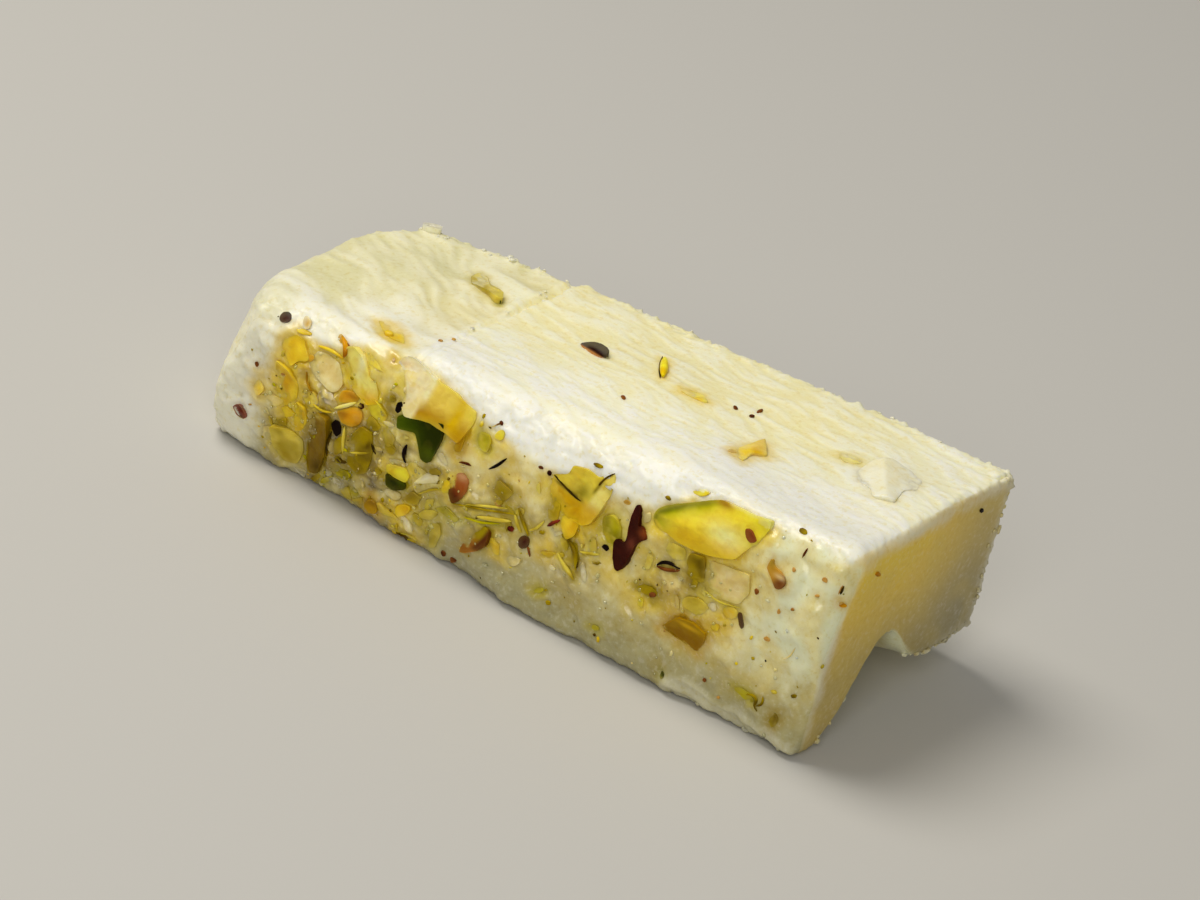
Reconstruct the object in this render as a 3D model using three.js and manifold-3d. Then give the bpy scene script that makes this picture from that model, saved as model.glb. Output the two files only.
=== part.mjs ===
// Barfi: one bar of pale milk fudge, cut from a slab whose face was studded with chopped pistachio.
//
// The bar lies on one of its two cut sides, and the other cut side is on top. X runs along the bar,
// the studded face looks towards -Y, and Z is up. Sizes are in millimetres.
// The origin is under the middle of the whole piece, on the surface it lies on.

import * as THREE from 'three';
import { mergeVertices } from 'three/addons/utils/BufferGeometryUtils.js';
import Module from 'manifold-3d';

const { clamp, lerp, smoothstep, degToRad } = THREE.MathUtils;

// ---- driving dimensions ---------------------------------------------------------------------

const LENGTH = 76;
const DEPTH = 29.5; // from the studded face to the back
const HEIGHT_LEFT = 17.6; // the bar was cut thinner at its left end
const HEIGHT_RIGHT = 24;

const EDGE_RADIUS = 1.3;
const RIDGE_RADIUS = 2.4; // the edge between the studded face and the upper cut side
const RIDGE_WEAR = { at: 3, reach: 13, extra: 2.6 }; // where that edge is rubbed round
const LEFT_RADIUS = 0.9; // added to the upper edges at the left end

const BELLY = 1.7; // how far the studded face swells out, half-way up
const FOOT = { at: 8, reach: 17, out: 1.9, height: 11 }; // the flare along its lower edge
const BACK_FLARE = 1.6; // how far the back leans out at the base
const RIGHT_LEAN = 0.8; // the right end overhangs its base by this much
const LEFT_LEAN = 1.1; // and so does the left end
const LEFT_FRONT_CORNER = { cut: 2.2, from: 7, to: 15 }; // worn off the left end's upper corner
const LEFT_BACK_CORNER = { cut: 3.6, from: 4, to: 14 }; // broken off it behind

const BROKEN_EDGE = { height: 4.3, from: -12, to: -4 }; // the crumbled lower edge of the right end
const BROKEN_BITE = { at: -3, reach: 4.6, height: 6 }; // and its highest bite
const BREAK_REACH = 11; // how far in from the right end the underside is broken

const CRACK = { at: -16, width: 1.2, depth: 1.3, turn: 1 }; // the crack over the upper cut side
const TORN_DROP = 0.35; // how far the torn part beyond the crack lies lower
const TORN_WAVE = 0.4;

const CLEARANCE = 0.3; // between a piece of nut and its pocket
const GRID = { along: 42, across: 17, up: 12 };

// ---- the shape of the bar, as functions of place ---------------------------------------------

const bump = (value, centre, reach) => Math.exp(-(((value - centre) / reach) ** 2));
const heightAt = (x) => lerp(HEIGHT_LEFT, HEIGHT_RIGHT, x / LENGTH + 0.5);

function edgeRadius(x, y, up) {
  const front = 1 - smoothstep(y, -8, 4);
  const upper = smoothstep(up, 0.4, 0.8);
  const left = 1 - smoothstep(x, -LENGTH / 2 + 4, -LENGTH / 2 + 14);
  const ridge = RIDGE_RADIUS + RIDGE_WEAR.extra * bump(x, RIDGE_WEAR.at, RIDGE_WEAR.reach);
  return EDGE_RADIUS + (ridge - EDGE_RADIUS) * front * upper + LEFT_RADIUS * left * upper;
}

// A point of the plain block, drawn in to a ball of the edge's radius where two faces meet.
function roundedPoint(x, y, up) {
  const height = heightAt(x);
  const radius = edgeRadius(x, y, up);
  const point = new THREE.Vector3(x, y, up * height);
  const core = new THREE.Vector3(
    clamp(x, radius - LENGTH / 2, LENGTH / 2 - radius),
    clamp(y, radius - DEPTH / 2, DEPTH / 2 - radius),
    clamp(point.z, radius, height - radius)
  );
  return point.sub(core).setLength(radius).add(core);
}

// How far the studded face stands out from the plain block.
function frontSwell(x, z) {
  const halfHeight = heightAt(x) / 2;
  const belly = BELLY * (1 - ((z - halfHeight) / halfHeight) ** 2);
  const foot = FOOT.out * bump(x, FOOT.at, FOOT.reach) * clamp(1 - z / FOOT.height, 0, 1);
  return belly + foot;
}

// Height of the crumbled underside above the surface that the bar lies on.
function brokenLift(x, y) {
  const edge = BROKEN_EDGE.height * smoothstep(y, BROKEN_EDGE.from, BROKEN_EDGE.to);
  const bite = BROKEN_BITE.height * bump(y, BROKEN_BITE.at, BROKEN_BITE.reach);
  const inwards = Math.min((LENGTH / 2 - x) / BREAK_REACH, 1);
  return (edge + bite) * (1 - inwards ** 2);
}

function tornRelief(x, y) {
  const crackLine = CRACK.at - y * Math.tan(degToRad(CRACK.turn));
  const beyond = 1 - smoothstep(x, crackLine - 1.6, crackLine);
  const waves = Math.sin(0.55 * x + 0.85 * y) * Math.sin(0.3 * x - 0.5 * y + 1);
  return beyond * (TORN_WAVE * waves - TORN_DROP);
}

// How far the left end is drawn in at its corners, seen from above.
function leftCut(y, climb) {
  const front = LEFT_FRONT_CORNER;
  const back = LEFT_BACK_CORNER;
  const worn = front.cut * smoothstep(-y, front.from, front.to) * climb;
  const broken = back.cut * smoothstep(y, back.from, back.to);
  return worn + broken - LEFT_LEAN * climb;
}

function barPoint(x, y, up) {
  const point = roundedPoint(x, y, up);
  const height = heightAt(x);
  const toFront = clamp(0.5 - point.y / DEPTH, 0, 1);
  const toLeft = clamp(0.5 - point.x / LENGTH, 0, 1);
  const climb = clamp(point.z / height, 0, 1);
  const swell = frontSwell(point.x, point.z) + 0.3 * Math.sin(0.37 * point.x + 0.5 * point.z);
  const lift = brokenLift(point.x, point.y);
  const softTop = 0.25 * Math.sin(0.21 * point.x + 1) * Math.cos(0.3 * point.y);
  const inLeft = leftCut(point.y, climb) * toLeft ** 6;
  const inRight = RIGHT_LEAN * (1 - climb) * (1 - toLeft) ** 8;

  const moved = new THREE.Vector3();
  moved.x = point.x + inLeft - inRight;
  moved.y = point.y - swell * toFront ** 2 + BACK_FLARE * (1 - climb) * (1 - toFront) ** 2;
  moved.z = lift + point.z * (1 - lift / height) + climb ** 4 * (softTop + tornRelief(x, y));
  return moved;
}

// ---- solids ----------------------------------------------------------------------------------

const wasm = await Module();
wasm.setup();

function toSolid(geometry) {
  const bare = geometry.clone();
  bare.deleteAttribute('normal');
  bare.deleteAttribute('uv');
  const merged = mergeVertices(bare, 1e-4);
  return new wasm.Manifold(
    new wasm.Mesh({
      numProp: 3,
      vertProperties: Float32Array.from(merged.attributes.position.array),
      triVerts: Uint32Array.from(merged.index.array)
    })
  );
}

function toGeometry(solid) {
  const mesh = solid.getMesh();
  const geometry = new THREE.BufferGeometry();
  geometry.setAttribute('position', new THREE.BufferAttribute(mesh.vertProperties, 3));
  geometry.setIndex(new THREE.BufferAttribute(mesh.triVerts, 1));
  geometry.computeVertexNormals();
  return geometry;
}

function barSolid() {
  const block = new THREE.BoxGeometry(LENGTH, DEPTH, 1, GRID.along, GRID.across, GRID.up);
  const places = block.attributes.position;
  for (let i = 0; i < places.count; i++) {
    const point = barPoint(places.getX(i), places.getY(i), places.getZ(i) + 0.5);
    places.setXYZ(i, point.x, point.y, point.z);
  }
  return toSolid(block);
}

// A wedge that runs right over the upper cut side, point down.
function crackSolid() {
  const rim = heightAt(CRACK.at) + 3;
  const tip = heightAt(CRACK.at) - TORN_DROP / 2 - CRACK.depth;
  const section = new THREE.Shape([
    new THREE.Vector2(0, tip),
    new THREE.Vector2(CRACK.width, rim),
    new THREE.Vector2(-CRACK.width, rim)
  ]);
  const wedge = new THREE.ExtrudeGeometry(section, { depth: DEPTH, bevelEnabled: false });
  wedge.translate(0, 0, -DEPTH / 2 - 3);
  wedge.rotateX(Math.PI / 2);
  wedge.rotateZ(degToRad(CRACK.turn));
  wedge.translate(CRACK.at, 0, 0);
  return toSolid(wedge);
}

// ---- pieces of pistachio ---------------------------------------------------------------------

// A leaf: two arcs that meet in two tips, one of them fuller than the other.
function leafOutline({ length, rise, belly }) {
  const outline = new THREE.Shape();
  outline.moveTo(-length / 2, 0);
  outline.bezierCurveTo(-length * 0.38, -belly * 0.9, length * 0.2, -belly * 1.7, length / 2, 0);
  outline.bezierCurveTo(length * 0.2, rise * 1.3, -length * 0.3, rise * 1.5, -length / 2, 0);
  return outline;
}

// A broken chunk or flake: corners at the given bearings and distances from its middle.
function chipOutline({ corners }) {
  const points = corners.map(([bearing, reach]) => {
    const angle = degToRad(bearing);
    return new THREE.Vector2(reach * Math.cos(angle), reach * Math.sin(angle));
  });
  return new THREE.Shape(points);
}

// A cut piece of nut with softened edges. Its outline lies in X and Z, and it looks towards -Y.
function nutGeometry(nut, grow) {
  const edge = 0.22 * nut.thick;
  const geometry = new THREE.ExtrudeGeometry(nut.outline(nut), {
    depth: nut.thick - 2 * edge,
    curveSegments: 7,
    bevelSegments: 2,
    bevelThickness: edge + grow,
    bevelSize: edge + grow,
    bevelOffset: -edge
  });
  geometry.translate(0, 0, edge - nut.thick / 2);
  geometry.rotateX(Math.PI / 2);
  return geometry;
}

// at: place of the middle, along X and up Z. turn: in the plane of the studded face, anticlockwise.
// lean: nods the piece up to follow the rounded ridge. proud: how far it stands out of the face.
const NUTS = [
  {
    name: 'nut_sliver', outline: leafOutline, length: 14, rise: 2.3, belly: 2.9,
    at: [21.9, 18.7], turn: 26, lean: -20, thick: 2.6, proud: 0.4, color: 0xd8cc4a
  },
  {
    name: 'nut_chunk_pale', outline: chipOutline,
    corners: [[-24, 5.1], [8, 4.2], [62, 2.6], [128, 3.2], [172, 4.6], [222, 3.6], [296, 2.2]],
    at: [-13.1, 17], turn: -4, lean: -36, thick: 2.8, proud: 0, color: 0xdfd680
  },
  {
    name: 'nut_chunk_yellow', outline: chipOutline,
    corners: [[-80, 2.8], [-10, 1.7], [70, 2.7], [140, 2], [215, 1.9]],
    at: [-21.2, 14.7], turn: 14, lean: -14, thick: 2.2, proud: 0.4, color: 0xd9c75a
  },
  {
    name: 'nut_chunk_faceted', outline: chipOutline,
    corners: [[-84, 2.9], [-8, 3.4], [28, 4], [100, 1.5], [158, 4], [190, 3.2]],
    at: [7.2, 15.5], turn: 24, lean: -10, thick: 2.6, proud: 0.8, color: 0xc9b93a
  },
  {
    name: 'nut_chip_green', outline: chipOutline,
    corners: [[-82, 2.9], [12, 3.1], [58, 2.1], [152, 2.9], [196, 2.2]],
    at: [-12, 11.9], turn: 8, lean: 0, thick: 1.3, proud: 0.5, color: 0x2f4a12
  },
  {
    name: 'nut_chip_amber', outline: chipOutline,
    corners: [[-62, 2.2], [-14, 2.9], [40, 1.8], [150, 2.5], [196, 2.4]],
    at: [22.2, 6.9], turn: 16, lean: 4, thick: 1.5, proud: 0.5, color: 0x9c7c14
  },
  {
    name: 'nut_chunk_olive', outline: chipOutline,
    corners: [[-70, 2.5], [0, 1.9], [64, 2.6], [130, 2.1], [200, 2.2]],
    at: [-24.4, 5.8], turn: 30, lean: 4, thick: 1.8, proud: 0.6, color: 0x7c7420
  },
  {
    name: 'skin_flake_maroon', outline: chipOutline,
    corners: [[-108, 3.6], [-58, 2.2], [24, 1.3], [76, 4.3], [104, 4], [190, 1.2]],
    at: [13.3, 13.2], turn: -6, lean: 0, thick: 1, proud: 0.5, color: 0x5a1a1e
  }
];

const bar = new THREE.Group();
let body = barSolid().subtract(crackSolid());

for (const nut of NUTS) {
  const [x, z] = nut.at;
  const face = -DEPTH / 2 - frontSwell(x, z);
  const finish = new THREE.MeshStandardMaterial({ color: nut.color, roughness: 0.45 });
  const piece = new THREE.Mesh(nutGeometry(nut, 0), finish);
  piece.name = nut.name;
  piece.position.set(x, face + nut.thick / 2 - nut.proud, z);
  piece.rotation.set(degToRad(nut.lean), degToRad(-nut.turn), 0);
  piece.updateMatrixWorld();
  const pocket = nutGeometry(nut, CLEARANCE).applyMatrix4(piece.matrixWorld);
  body = body.subtract(toSolid(pocket));
  bar.add(piece);
}

const milk = new THREE.MeshStandardMaterial({ color: 0xf1e8c0, roughness: 0.6 });
const barMesh = new THREE.Mesh(toGeometry(body), milk);
barMesh.name = 'barfi_bar';
bar.add(barMesh);

// The origin goes under the middle of the whole piece.
bar.updateMatrixWorld(true);
const box = new THREE.Box3().setFromObject(bar, true);
const middle = box.getCenter(new THREE.Vector3());
bar.position.set(-middle.x, -middle.y, -box.min.z);
bar.updateMatrixWorld(true);

const barfi = new THREE.Group();
barfi.add(bar);

export default barfi;
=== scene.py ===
# %% [markdown]
# # A bar of pistachio barfi
# Milk is boiled down to a soft fudge and spread in a tray. Chopped pistachio is strewn over it and
# pressed in, and the slab is cut into bars. This bar lies on one cut side, so the studded face
# looks to the front and the other cut side is on top.
#
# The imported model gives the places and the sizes. This lesson makes what the eye sees around it:
# the grain of the fudge, the torn end, the nuts and everything that is too small for the model.

import math
import random

import bmesh
import bpy
from mathutils import Matrix, Vector, noise
from mathutils.bvhtree import BVHTree


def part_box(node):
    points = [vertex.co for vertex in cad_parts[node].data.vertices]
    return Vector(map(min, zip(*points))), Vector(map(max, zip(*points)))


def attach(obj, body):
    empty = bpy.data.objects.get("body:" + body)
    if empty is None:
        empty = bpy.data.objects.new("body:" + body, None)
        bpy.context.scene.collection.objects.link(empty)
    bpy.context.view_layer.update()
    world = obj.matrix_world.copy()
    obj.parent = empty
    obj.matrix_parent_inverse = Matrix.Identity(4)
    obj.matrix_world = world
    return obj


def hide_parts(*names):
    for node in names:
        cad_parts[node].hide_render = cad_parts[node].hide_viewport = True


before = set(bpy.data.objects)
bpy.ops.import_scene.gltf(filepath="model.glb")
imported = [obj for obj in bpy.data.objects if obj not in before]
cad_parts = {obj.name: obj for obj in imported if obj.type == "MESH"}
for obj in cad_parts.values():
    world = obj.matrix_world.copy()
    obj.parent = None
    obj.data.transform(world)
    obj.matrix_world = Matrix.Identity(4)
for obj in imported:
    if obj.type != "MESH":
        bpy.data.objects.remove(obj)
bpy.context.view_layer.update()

# %% [markdown]
# ## The measures of the bar
# All shapes are worked out in millimetres in the bar's own frame: X along the bar, the studded face
# towards -Y, Z up. They could be typed in metres straight away, but kitchen sizes are easier to
# check in millimetres, and one matrix takes every finished piece to its place in metres.

# %% Measures
LENGTH = 76.0
DEPTH = 29.5
HEIGHT_LEFT = 17.6
HEIGHT_RIGHT = 24.0
EDGE_RADIUS = 1.3
RIDGE_RADIUS = 2.4
LEFT_RADIUS = 0.9
BELLY = 1.7
BACK_FLARE = 1.6
RIGHT_LEAN = 0.8
LEFT_LEAN = 1.1
CRACK_AT = -16.0
TORN_DROP = 0.35


def clamp(value, low=0.0, high=1.0):
    return max(low, min(high, value))


def lerp(start, end, share):
    return start + (end - start) * share


def smoothstep(value, low, high):
    share = clamp((value - low) / (high - low))
    return share * share * (3 - 2 * share)


def bump(value, centre, reach):
    return math.exp(-(((value - centre) / reach) ** 2))


def height_at(x):
    return lerp(HEIGHT_LEFT, HEIGHT_RIGHT, x / LENGTH + 0.5)


print("height in the middle, mm:", height_at(0))

# %% [markdown]
# ## The camera
# The camera looks at the bar from in front of its thicker end and a little above, and it is rolled
# as the bar leans. A target constraint could aim it. Three plain vectors do it here, because the
# same line of sight is used later to lay each nut where it shows.

# %% Camera
EYE_AZIMUTH = 28.5
EYE_ELEVATION = 28.0
EYE_ROLL = 14.4
EYE_DISTANCE = 660.0
LOOKED_AT = Vector((0.3, -0.7, 12.2))
LENS = 195.0

turn = math.radians(EYE_AZIMUTH)
climb_angle = math.radians(EYE_ELEVATION)
roll = math.radians(EYE_ROLL)
back = Vector((math.sin(turn) * math.cos(climb_angle), -math.cos(turn) * math.cos(climb_angle),
               math.sin(climb_angle)))
level_right = Vector((math.cos(turn), math.sin(turn), 0))
level_up = back.cross(level_right)
right = level_right * math.cos(roll) + level_up * math.sin(roll)
up = back.cross(right)
eye = LOOKED_AT + back * EYE_DISTANCE
print("eye, mm:", [round(value, 1) for value in eye])

# %% [markdown]
# ## The body: a block that is moved point by point
# The bar began as a block with straight cuts, so a cube is the right start. Cuts are added along
# each direction until a cell is about half a millimetre, and the three sides that show most are
# cut once more. Sculpting would also work, but a function gives the same bar on every run.

# %% Block
CELLS = {"along": 150, "across": 60, "up": 46}


def finely_cut_block():
    block = bmesh.new()
    bmesh.ops.create_cube(block, size=1)
    bmesh.ops.translate(block, verts=block.verts, vec=(0, 0, 0.5))
    bmesh.ops.scale(block, verts=block.verts, vec=(LENGTH, DEPTH, 1))
    for axis, cells in enumerate(CELLS.values()):
        edges = [e for e in block.edges if abs(e.verts[0].co[axis] - e.verts[1].co[axis]) > 1e-6]
        bmesh.ops.subdivide_edges(block, edges=edges, cuts=cells - 1, use_grid_fill=True)
    block.faces.ensure_lookup_table()
    shown = set()
    for face in block.faces:
        middle = face.calc_center_median()
        if middle.z > 0.9999 or middle.y < 0.001 - DEPTH / 2:
            shown.update(face.edges)
    bmesh.ops.subdivide_edges(block, edges=list(shown), cuts=1, use_grid_fill=True,
                              use_single_edge=True)
    return block


body = finely_cut_block()
print("faces in the block:", len(body.faces))


# %% [markdown]
# ## The shape of the whole bar
# The edges are drawn in to a small radius. Then the studded face swells out, the back flares at its
# base, the left end is worn round at its corners and the underside is broken away at the right.
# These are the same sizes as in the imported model.

# %% Shape of the whole bar
def edge_radius(x, y, share_up):
    front = 1 - smoothstep(y, -8, 4)
    upper = smoothstep(share_up, 0.4, 0.8)
    left = 1 - smoothstep(x, -LENGTH / 2 + 4, -LENGTH / 2 + 14)
    ridge = RIDGE_RADIUS + 2.6 * bump(x, 3, 13)
    return EDGE_RADIUS + (ridge - EDGE_RADIUS) * front * upper + LEFT_RADIUS * left * upper


def rounded_point(x, y, share_up):
    height = height_at(x)
    radius = edge_radius(x, y, share_up)
    point = Vector((x, y, share_up * height))
    core = Vector((
        clamp(x, radius - LENGTH / 2, LENGTH / 2 - radius),
        clamp(y, radius - DEPTH / 2, DEPTH / 2 - radius),
        clamp(point.z, radius, height - radius),
    ))
    outwards = point - core
    outwards.length = radius
    return core + outwards


def front_swell(x, z):
    half = height_at(x) / 2
    belly = BELLY * (1 - ((z - half) / half) ** 2)
    foot = 1.9 * bump(x, 8, 17) * clamp(1 - z / 11)
    return belly + foot


def broken_lift(x, y):
    edge = 4.3 * smoothstep(y, -12, -4)
    bite = 6 * bump(y, -3, 4.6)
    inwards = min((LENGTH / 2 - x) / 11, 1)
    return (edge + bite) * (1 - inwards ** 2)


def crack_line(y):
    return CRACK_AT - y * math.tan(math.radians(1)) + 0.5 * noise.noise(Vector((0.3, y * 0.25, 7)))


def beyond_crack(x, y):
    return 1 - smoothstep(x, crack_line(y) - 1.6, crack_line(y))


def torn_relief(x, y):
    waves = math.sin(0.55 * x + 0.85 * y) * math.sin(0.3 * x - 0.5 * y + 1)
    return beyond_crack(x, y) * (0.12 * waves - TORN_DROP)


def left_cut(y, climb):
    worn = 2.2 * smoothstep(-y, 7, 15) * climb
    broken = 3.6 * smoothstep(y, 4, 14)
    return worn + broken - LEFT_LEAN * climb


def bar_point(x, y, share_up):
    point = rounded_point(x, y, share_up)
    height = height_at(x)
    to_front = clamp(0.5 - point.y / DEPTH)
    to_left = clamp(0.5 - point.x / LENGTH)
    climb = clamp(point.z / height)
    swell = front_swell(point.x, point.z) + 0.3 * math.sin(0.37 * point.x + 0.5 * point.z)
    lift = broken_lift(point.x, point.y)
    soft_top = 0.25 * math.sin(0.21 * point.x + 1) * math.cos(0.3 * point.y)
    in_left = left_cut(point.y, climb) * to_left ** 6
    in_right = RIGHT_LEAN * (1 - climb) * (1 - to_left) ** 8
    return Vector((
        point.x + in_left - in_right,
        point.y - swell * to_front ** 2 + BACK_FLARE * (1 - climb) * (1 - to_front) ** 2,
        lift + point.z * (1 - lift / height) + climb ** 4 * (soft_top + torn_relief(x, y)),
    ))


near_edge = body.verts.layers.float.new("near_edge")
for vert in body.verts:
    x, y, share_up = vert.co
    height = height_at(x)
    gaps = sorted((LENGTH / 2 - abs(x), DEPTH / 2 - abs(y), height * min(share_up, 1 - share_up)))
    vert[near_edge] = bump(gaps[1], 0, 1.5)
    vert.co = bar_point(x, y, share_up)

bar_low, bar_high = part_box("barfi_bar")
lows = Vector([min(vert.co[axis] for vert in body.verts) for axis in range(3)])
highs = Vector([max(vert.co[axis] for vert in body.verts) for axis in range(3)])
middle_shift = (bar_low + bar_high) / 2 * 1000 - (lows + highs) / 2
to_place = Matrix.Scale(0.001, 4) @ Matrix.Translation((middle_shift.x, middle_shift.y, 0))
eye_in_bar = eye - Vector((middle_shift.x, middle_shift.y, 0))
print("size of the body, mm:", [round(value, 2) for value in highs - lows])
print("shift to the model's frame, mm:", [round(value, 2) for value in middle_shift])


# %% [markdown]
# ## Lines of sight
# What is strewn over the bar is described as it is seen: by a place on a flat sheet of glass held
# against the studded face, the cut side or the right end. From the eye through that place a line
# runs on to the real, uneven surface. It could be laid out in UV space, but the sheet of glass is
# in millimetres, so a length on it is a length on the bar.

# %% Lines of sight
FRONT_GLASS = -15.35
RIGHT_GLASS = 37.8
TOP_GLASS = (20.78, 0.0773)


def on_front_glass(x, z):
    return Vector((x, FRONT_GLASS, z))


def on_top_glass(x, y):
    return Vector((x, y, TOP_GLASS[0] + TOP_GLASS[1] * x))


def on_right_glass(y, z):
    return Vector((RIGHT_GLASS, y, z))


def seen_on_front(point):
    """Where the line from the eye to a point crosses the glass of the studded face."""
    share = (FRONT_GLASS - eye_in_bar.y) / (point.y - eye_in_bar.y)
    crossing = eye_in_bar + (point - eye_in_bar) * share
    return crossing.x, crossing.z


# %% [markdown]
# ## Where the nuts lie, and where the juice has run
# The studded zone ends below the worn ridge. Around the nuts the fudge has taken on their colour:
# lemon, amber and olive. A painter would dab these stains by hand. Here each is a soft round mark,
# pulled about by noise so that no edge is a circle.

# %% Zones and stains
GARNISH_EDGE = [(-39, 13.5), (-35, 15.4), (-30.1, 16.9), (-26.4, 16.0), (-23.2, 17.8),
                (-18.3, 19.8), (-13.9, 20.1), (-7.3, 17.9), (-3.5, 16.7), (3.7, 15.8),
                (9.7, 16.4), (14.9, 18.1), (19, 21.5),
                (23.5, 23.0), (28.4, 23.2), (36.3, 23.6), (40, 23.6)]

# kind: x and z of the middle, reach along, reach up, strength
STAINS = {
    "lemon": [
        (-22.2, 15.5, 1.6, 2.6, 0.8), (-19.5, 13.6, 2.2, 1.6, 0.8), (-12, 16.0, 3.4, 2.4, 0.7),
        (-8.2, 14.6, 1.0, 3.0, 0.9), (6.3, 13.4, 2.8, 2.2, 0.9), (7.4, 16.8, 2.6, 1.8, 0.7),
        (-5.2, 15.0, 1.3, 2.2, 0.8), (20.5, 17.5, 5.0, 2.0, 0.7), (24.5, 14.6, 2.8, 2.2, 0.65),
        (16.5, 9.0, 3.2, 1.2, 0.9), (-29.4, 14.4, 2.0, 1.8, 0.6), (-13.2, 11.5, 3.6, 2.6, 0.35),
        (11, 13.4, 1.8, 2.0, 0.5), (-17.5, 11.0, 2.2, 3.0, 0.45), (-12, 3.0, 2.6, 1.8, 0.5),
        (7.2, 7.6, 2.6, 1.4, 0.5), (20, 22.4, 1.6, 0.6, 0.7), (28.4, 22.0, 1.4, 1.4, 0.4),
        (-28.6, 17.2, 1.4, 1.0, 0.4), (-8.4, 8.4, 0.9, 1.6, 0.7), (12.5, 12.0, 1.6, 3.0, 0.3),
    ],
    "amber": [
        (-29.6, 11.0, 2.0, 3.2, 0.75), (-31.5, 9.6, 2.2, 1.6, 0.3), (-24.2, 5.0, 2.2, 3.6, 0.6),
        (-21.4, 11.2, 2.6, 1.6, 0.9), (-22.6, 12.2, 1.2, 1.0, 0.9), (-27.0, 8.0, 1.6, 2.2, 0.5),
        (21.5, 10.2, 4.6, 1.8, 0.8), (22.0, 8.2, 2.6, 1.6, 0.7), (6.2, 11.6, 1.2, 2.0, 0.85),
        (-28.0, 3.2, 2.4, 1.9, 0.6), (-16.6, 2.0, 1.3, 0.9, 0.8), (30.2, 17.6, 1.6, 1.4, 0.5),
        (-6.6, 9.3, 1.5, 2.2, 0.3), (-12.8, 3.4, 1.4, 1.1, 0.6), (-25.6, 9.0, 1.0, 1.0, 0.5),
        (17.6, 14.6, 1.6, 1.0, 0.35),
    ],
    "olive": [
        (-24.6, 6.4, 1.8, 2.4, 0.9), (-19.3, 7.2, 1.8, 3.0, 0.95), (-21.0, 4.0, 2.2, 1.4, 0.6),
        (-3.2, 6.9, 4.0, 1.0, 0.55), (7.4, 8.8, 1.4, 1.8, 0.6), (21.1, 14.2, 1.5, 2.0, 0.75),
        (20.0, 1.6, 1.2, 1.8, 0.45), (30.2, 3.9, 2.4, 1.0, 0.6), (33.8, 3.0, 0.8, 1.0, 0.6),
        (36.0, 6.4, 1.0, 3.2, 0.4), (-14.5, 6.9, 1.8, 1.4, 0.6), (4.8, 2.8, 1.4, 0.9, 0.4),
        (-17.0, 12.4, 1.4, 1.4, 0.5), (-15.6, 9.0, 1.4, 1.0, 0.4), (1.2, 9.4, 1.0, 1.2, 0.4),
        (-16.5, 5.0, 2.6, 2.6, 0.45), (-9.0, 4.6, 2.4, 1.6, 0.35), (22.6, 11.4, 3.0, 1.0, 0.4),
        (8.0, 5.8, 3.0, 1.8, 0.4), (17.0, 5.2, 3.4, 1.8, 0.3), (-1.0, 4.6, 3.0, 1.6, 0.3),
        (-19.0, 2.6, 2.6, 1.4, 0.4), (8.6, 3.6, 3.6, 1.0, 0.25),
    ],
    # umber: dark marks between the chips, partly stain and partly painted shade between them
    "umber": [
        (-25.0, 6.4, 1.5, 2.6, 0.75), (-19.6, 5.6, 2.0, 2.8, 0.5), (-21.8, 3.6, 2.0, 1.3, 0.55),
        (-22.9, 8.6, 0.9, 1.4, 0.7), (7.8, 8.3, 0.5, 1.5, 0.6), (-17.2, 12.6, 1.3, 0.9, 0.5),
        (-14.6, 10.0, 0.8, 1.4, 0.4), (-16.4, 2.0, 1.3, 0.7, 0.5), (-12.0, 0.8, 2.0, 0.5, 0.6),
        (-3.0, 5.6, 1.2, 1.4, 0.35), (21.8, 12.6, 1.6, 0.5, 0.4), (16.8, 8.9, 1.6, 0.5, 0.3),
        (-19.0, 9.8, 1.4, 0.7, 0.6), (-26.6, 8.8, 0.9, 1.4, 0.6), (-24.4, 9.2, 1.2, 0.6, 0.6),
        (-25.8, 4.4, 0.7, 1.8, 0.7), (-22.2, 7.6, 0.8, 1.8, 0.85), (-21.0, 9.0, 1.0, 0.8, 0.6),
        (-17.2, 5.4, 0.6, 1.8, 0.6), (-20.2, 2.6, 1.6, 0.7, 0.6), (-24.6, 1.4, 1.4, 0.6, 0.6),
        (-14.0, 4.6, 1.6, 0.4, 0.5), (-11.6, 8.4, 1.2, 0.7, 0.4), (-9.6, 1.8, 1.6, 0.5, 0.5),
    ],
}


def garnish_top(x):
    for (x_low, z_low), (x_high, z_high) in zip(GARNISH_EDGE, GARNISH_EDGE[1:]):
        if x <= x_high:
            return lerp(z_low, z_high, clamp((x - x_low) / (x_high - x_low)))
    return GARNISH_EDGE[-1][1]


def stain_at(kind, x, z):
    wander = noise.noise_vector(Vector((x * 0.45, z * 0.45, 5)))
    finer = noise.noise_vector(Vector((x * 1.3, z * 1.3, 9)))
    x += 0.9 * wander.x + 0.4 * finer.x
    z += 0.9 * wander.y + 0.4 * finer.y
    clear = 1.0
    for middle_x, middle_z, along, upwards, strength in STAINS[kind]:
        away = ((x - middle_x) / along) ** 2 + ((z - middle_z) / upwards) ** 2
        if away < 5:
            clear *= 1 - strength * math.exp(-away ** 1.5)
    return 1 - clear


print("stains:", {kind: len(marks) for kind, marks in STAINS.items()})

# %% [markdown]
# ## What lies on the fudge
# Before the fudge is painted, everything that shows in it is listed, because each nut has let its
# juice into the fudge around it. Broken scraps are listed by their corners on the glass, and round
# ones by a ring: its middle, length, width and turn.

# %% Places on the glass
FRONT, TOP, END = on_front_glass, on_top_glass, on_right_glass


def seen_on_top(point):
    level, slope = TOP_GLASS
    above_eye = eye_in_bar.z - level - slope * eye_in_bar.x
    above_point = point.z - level - slope * point.x
    crossing = eye_in_bar + (point - eye_in_bar) * (above_eye / (above_eye - above_point))
    return crossing.x, crossing.y


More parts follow.
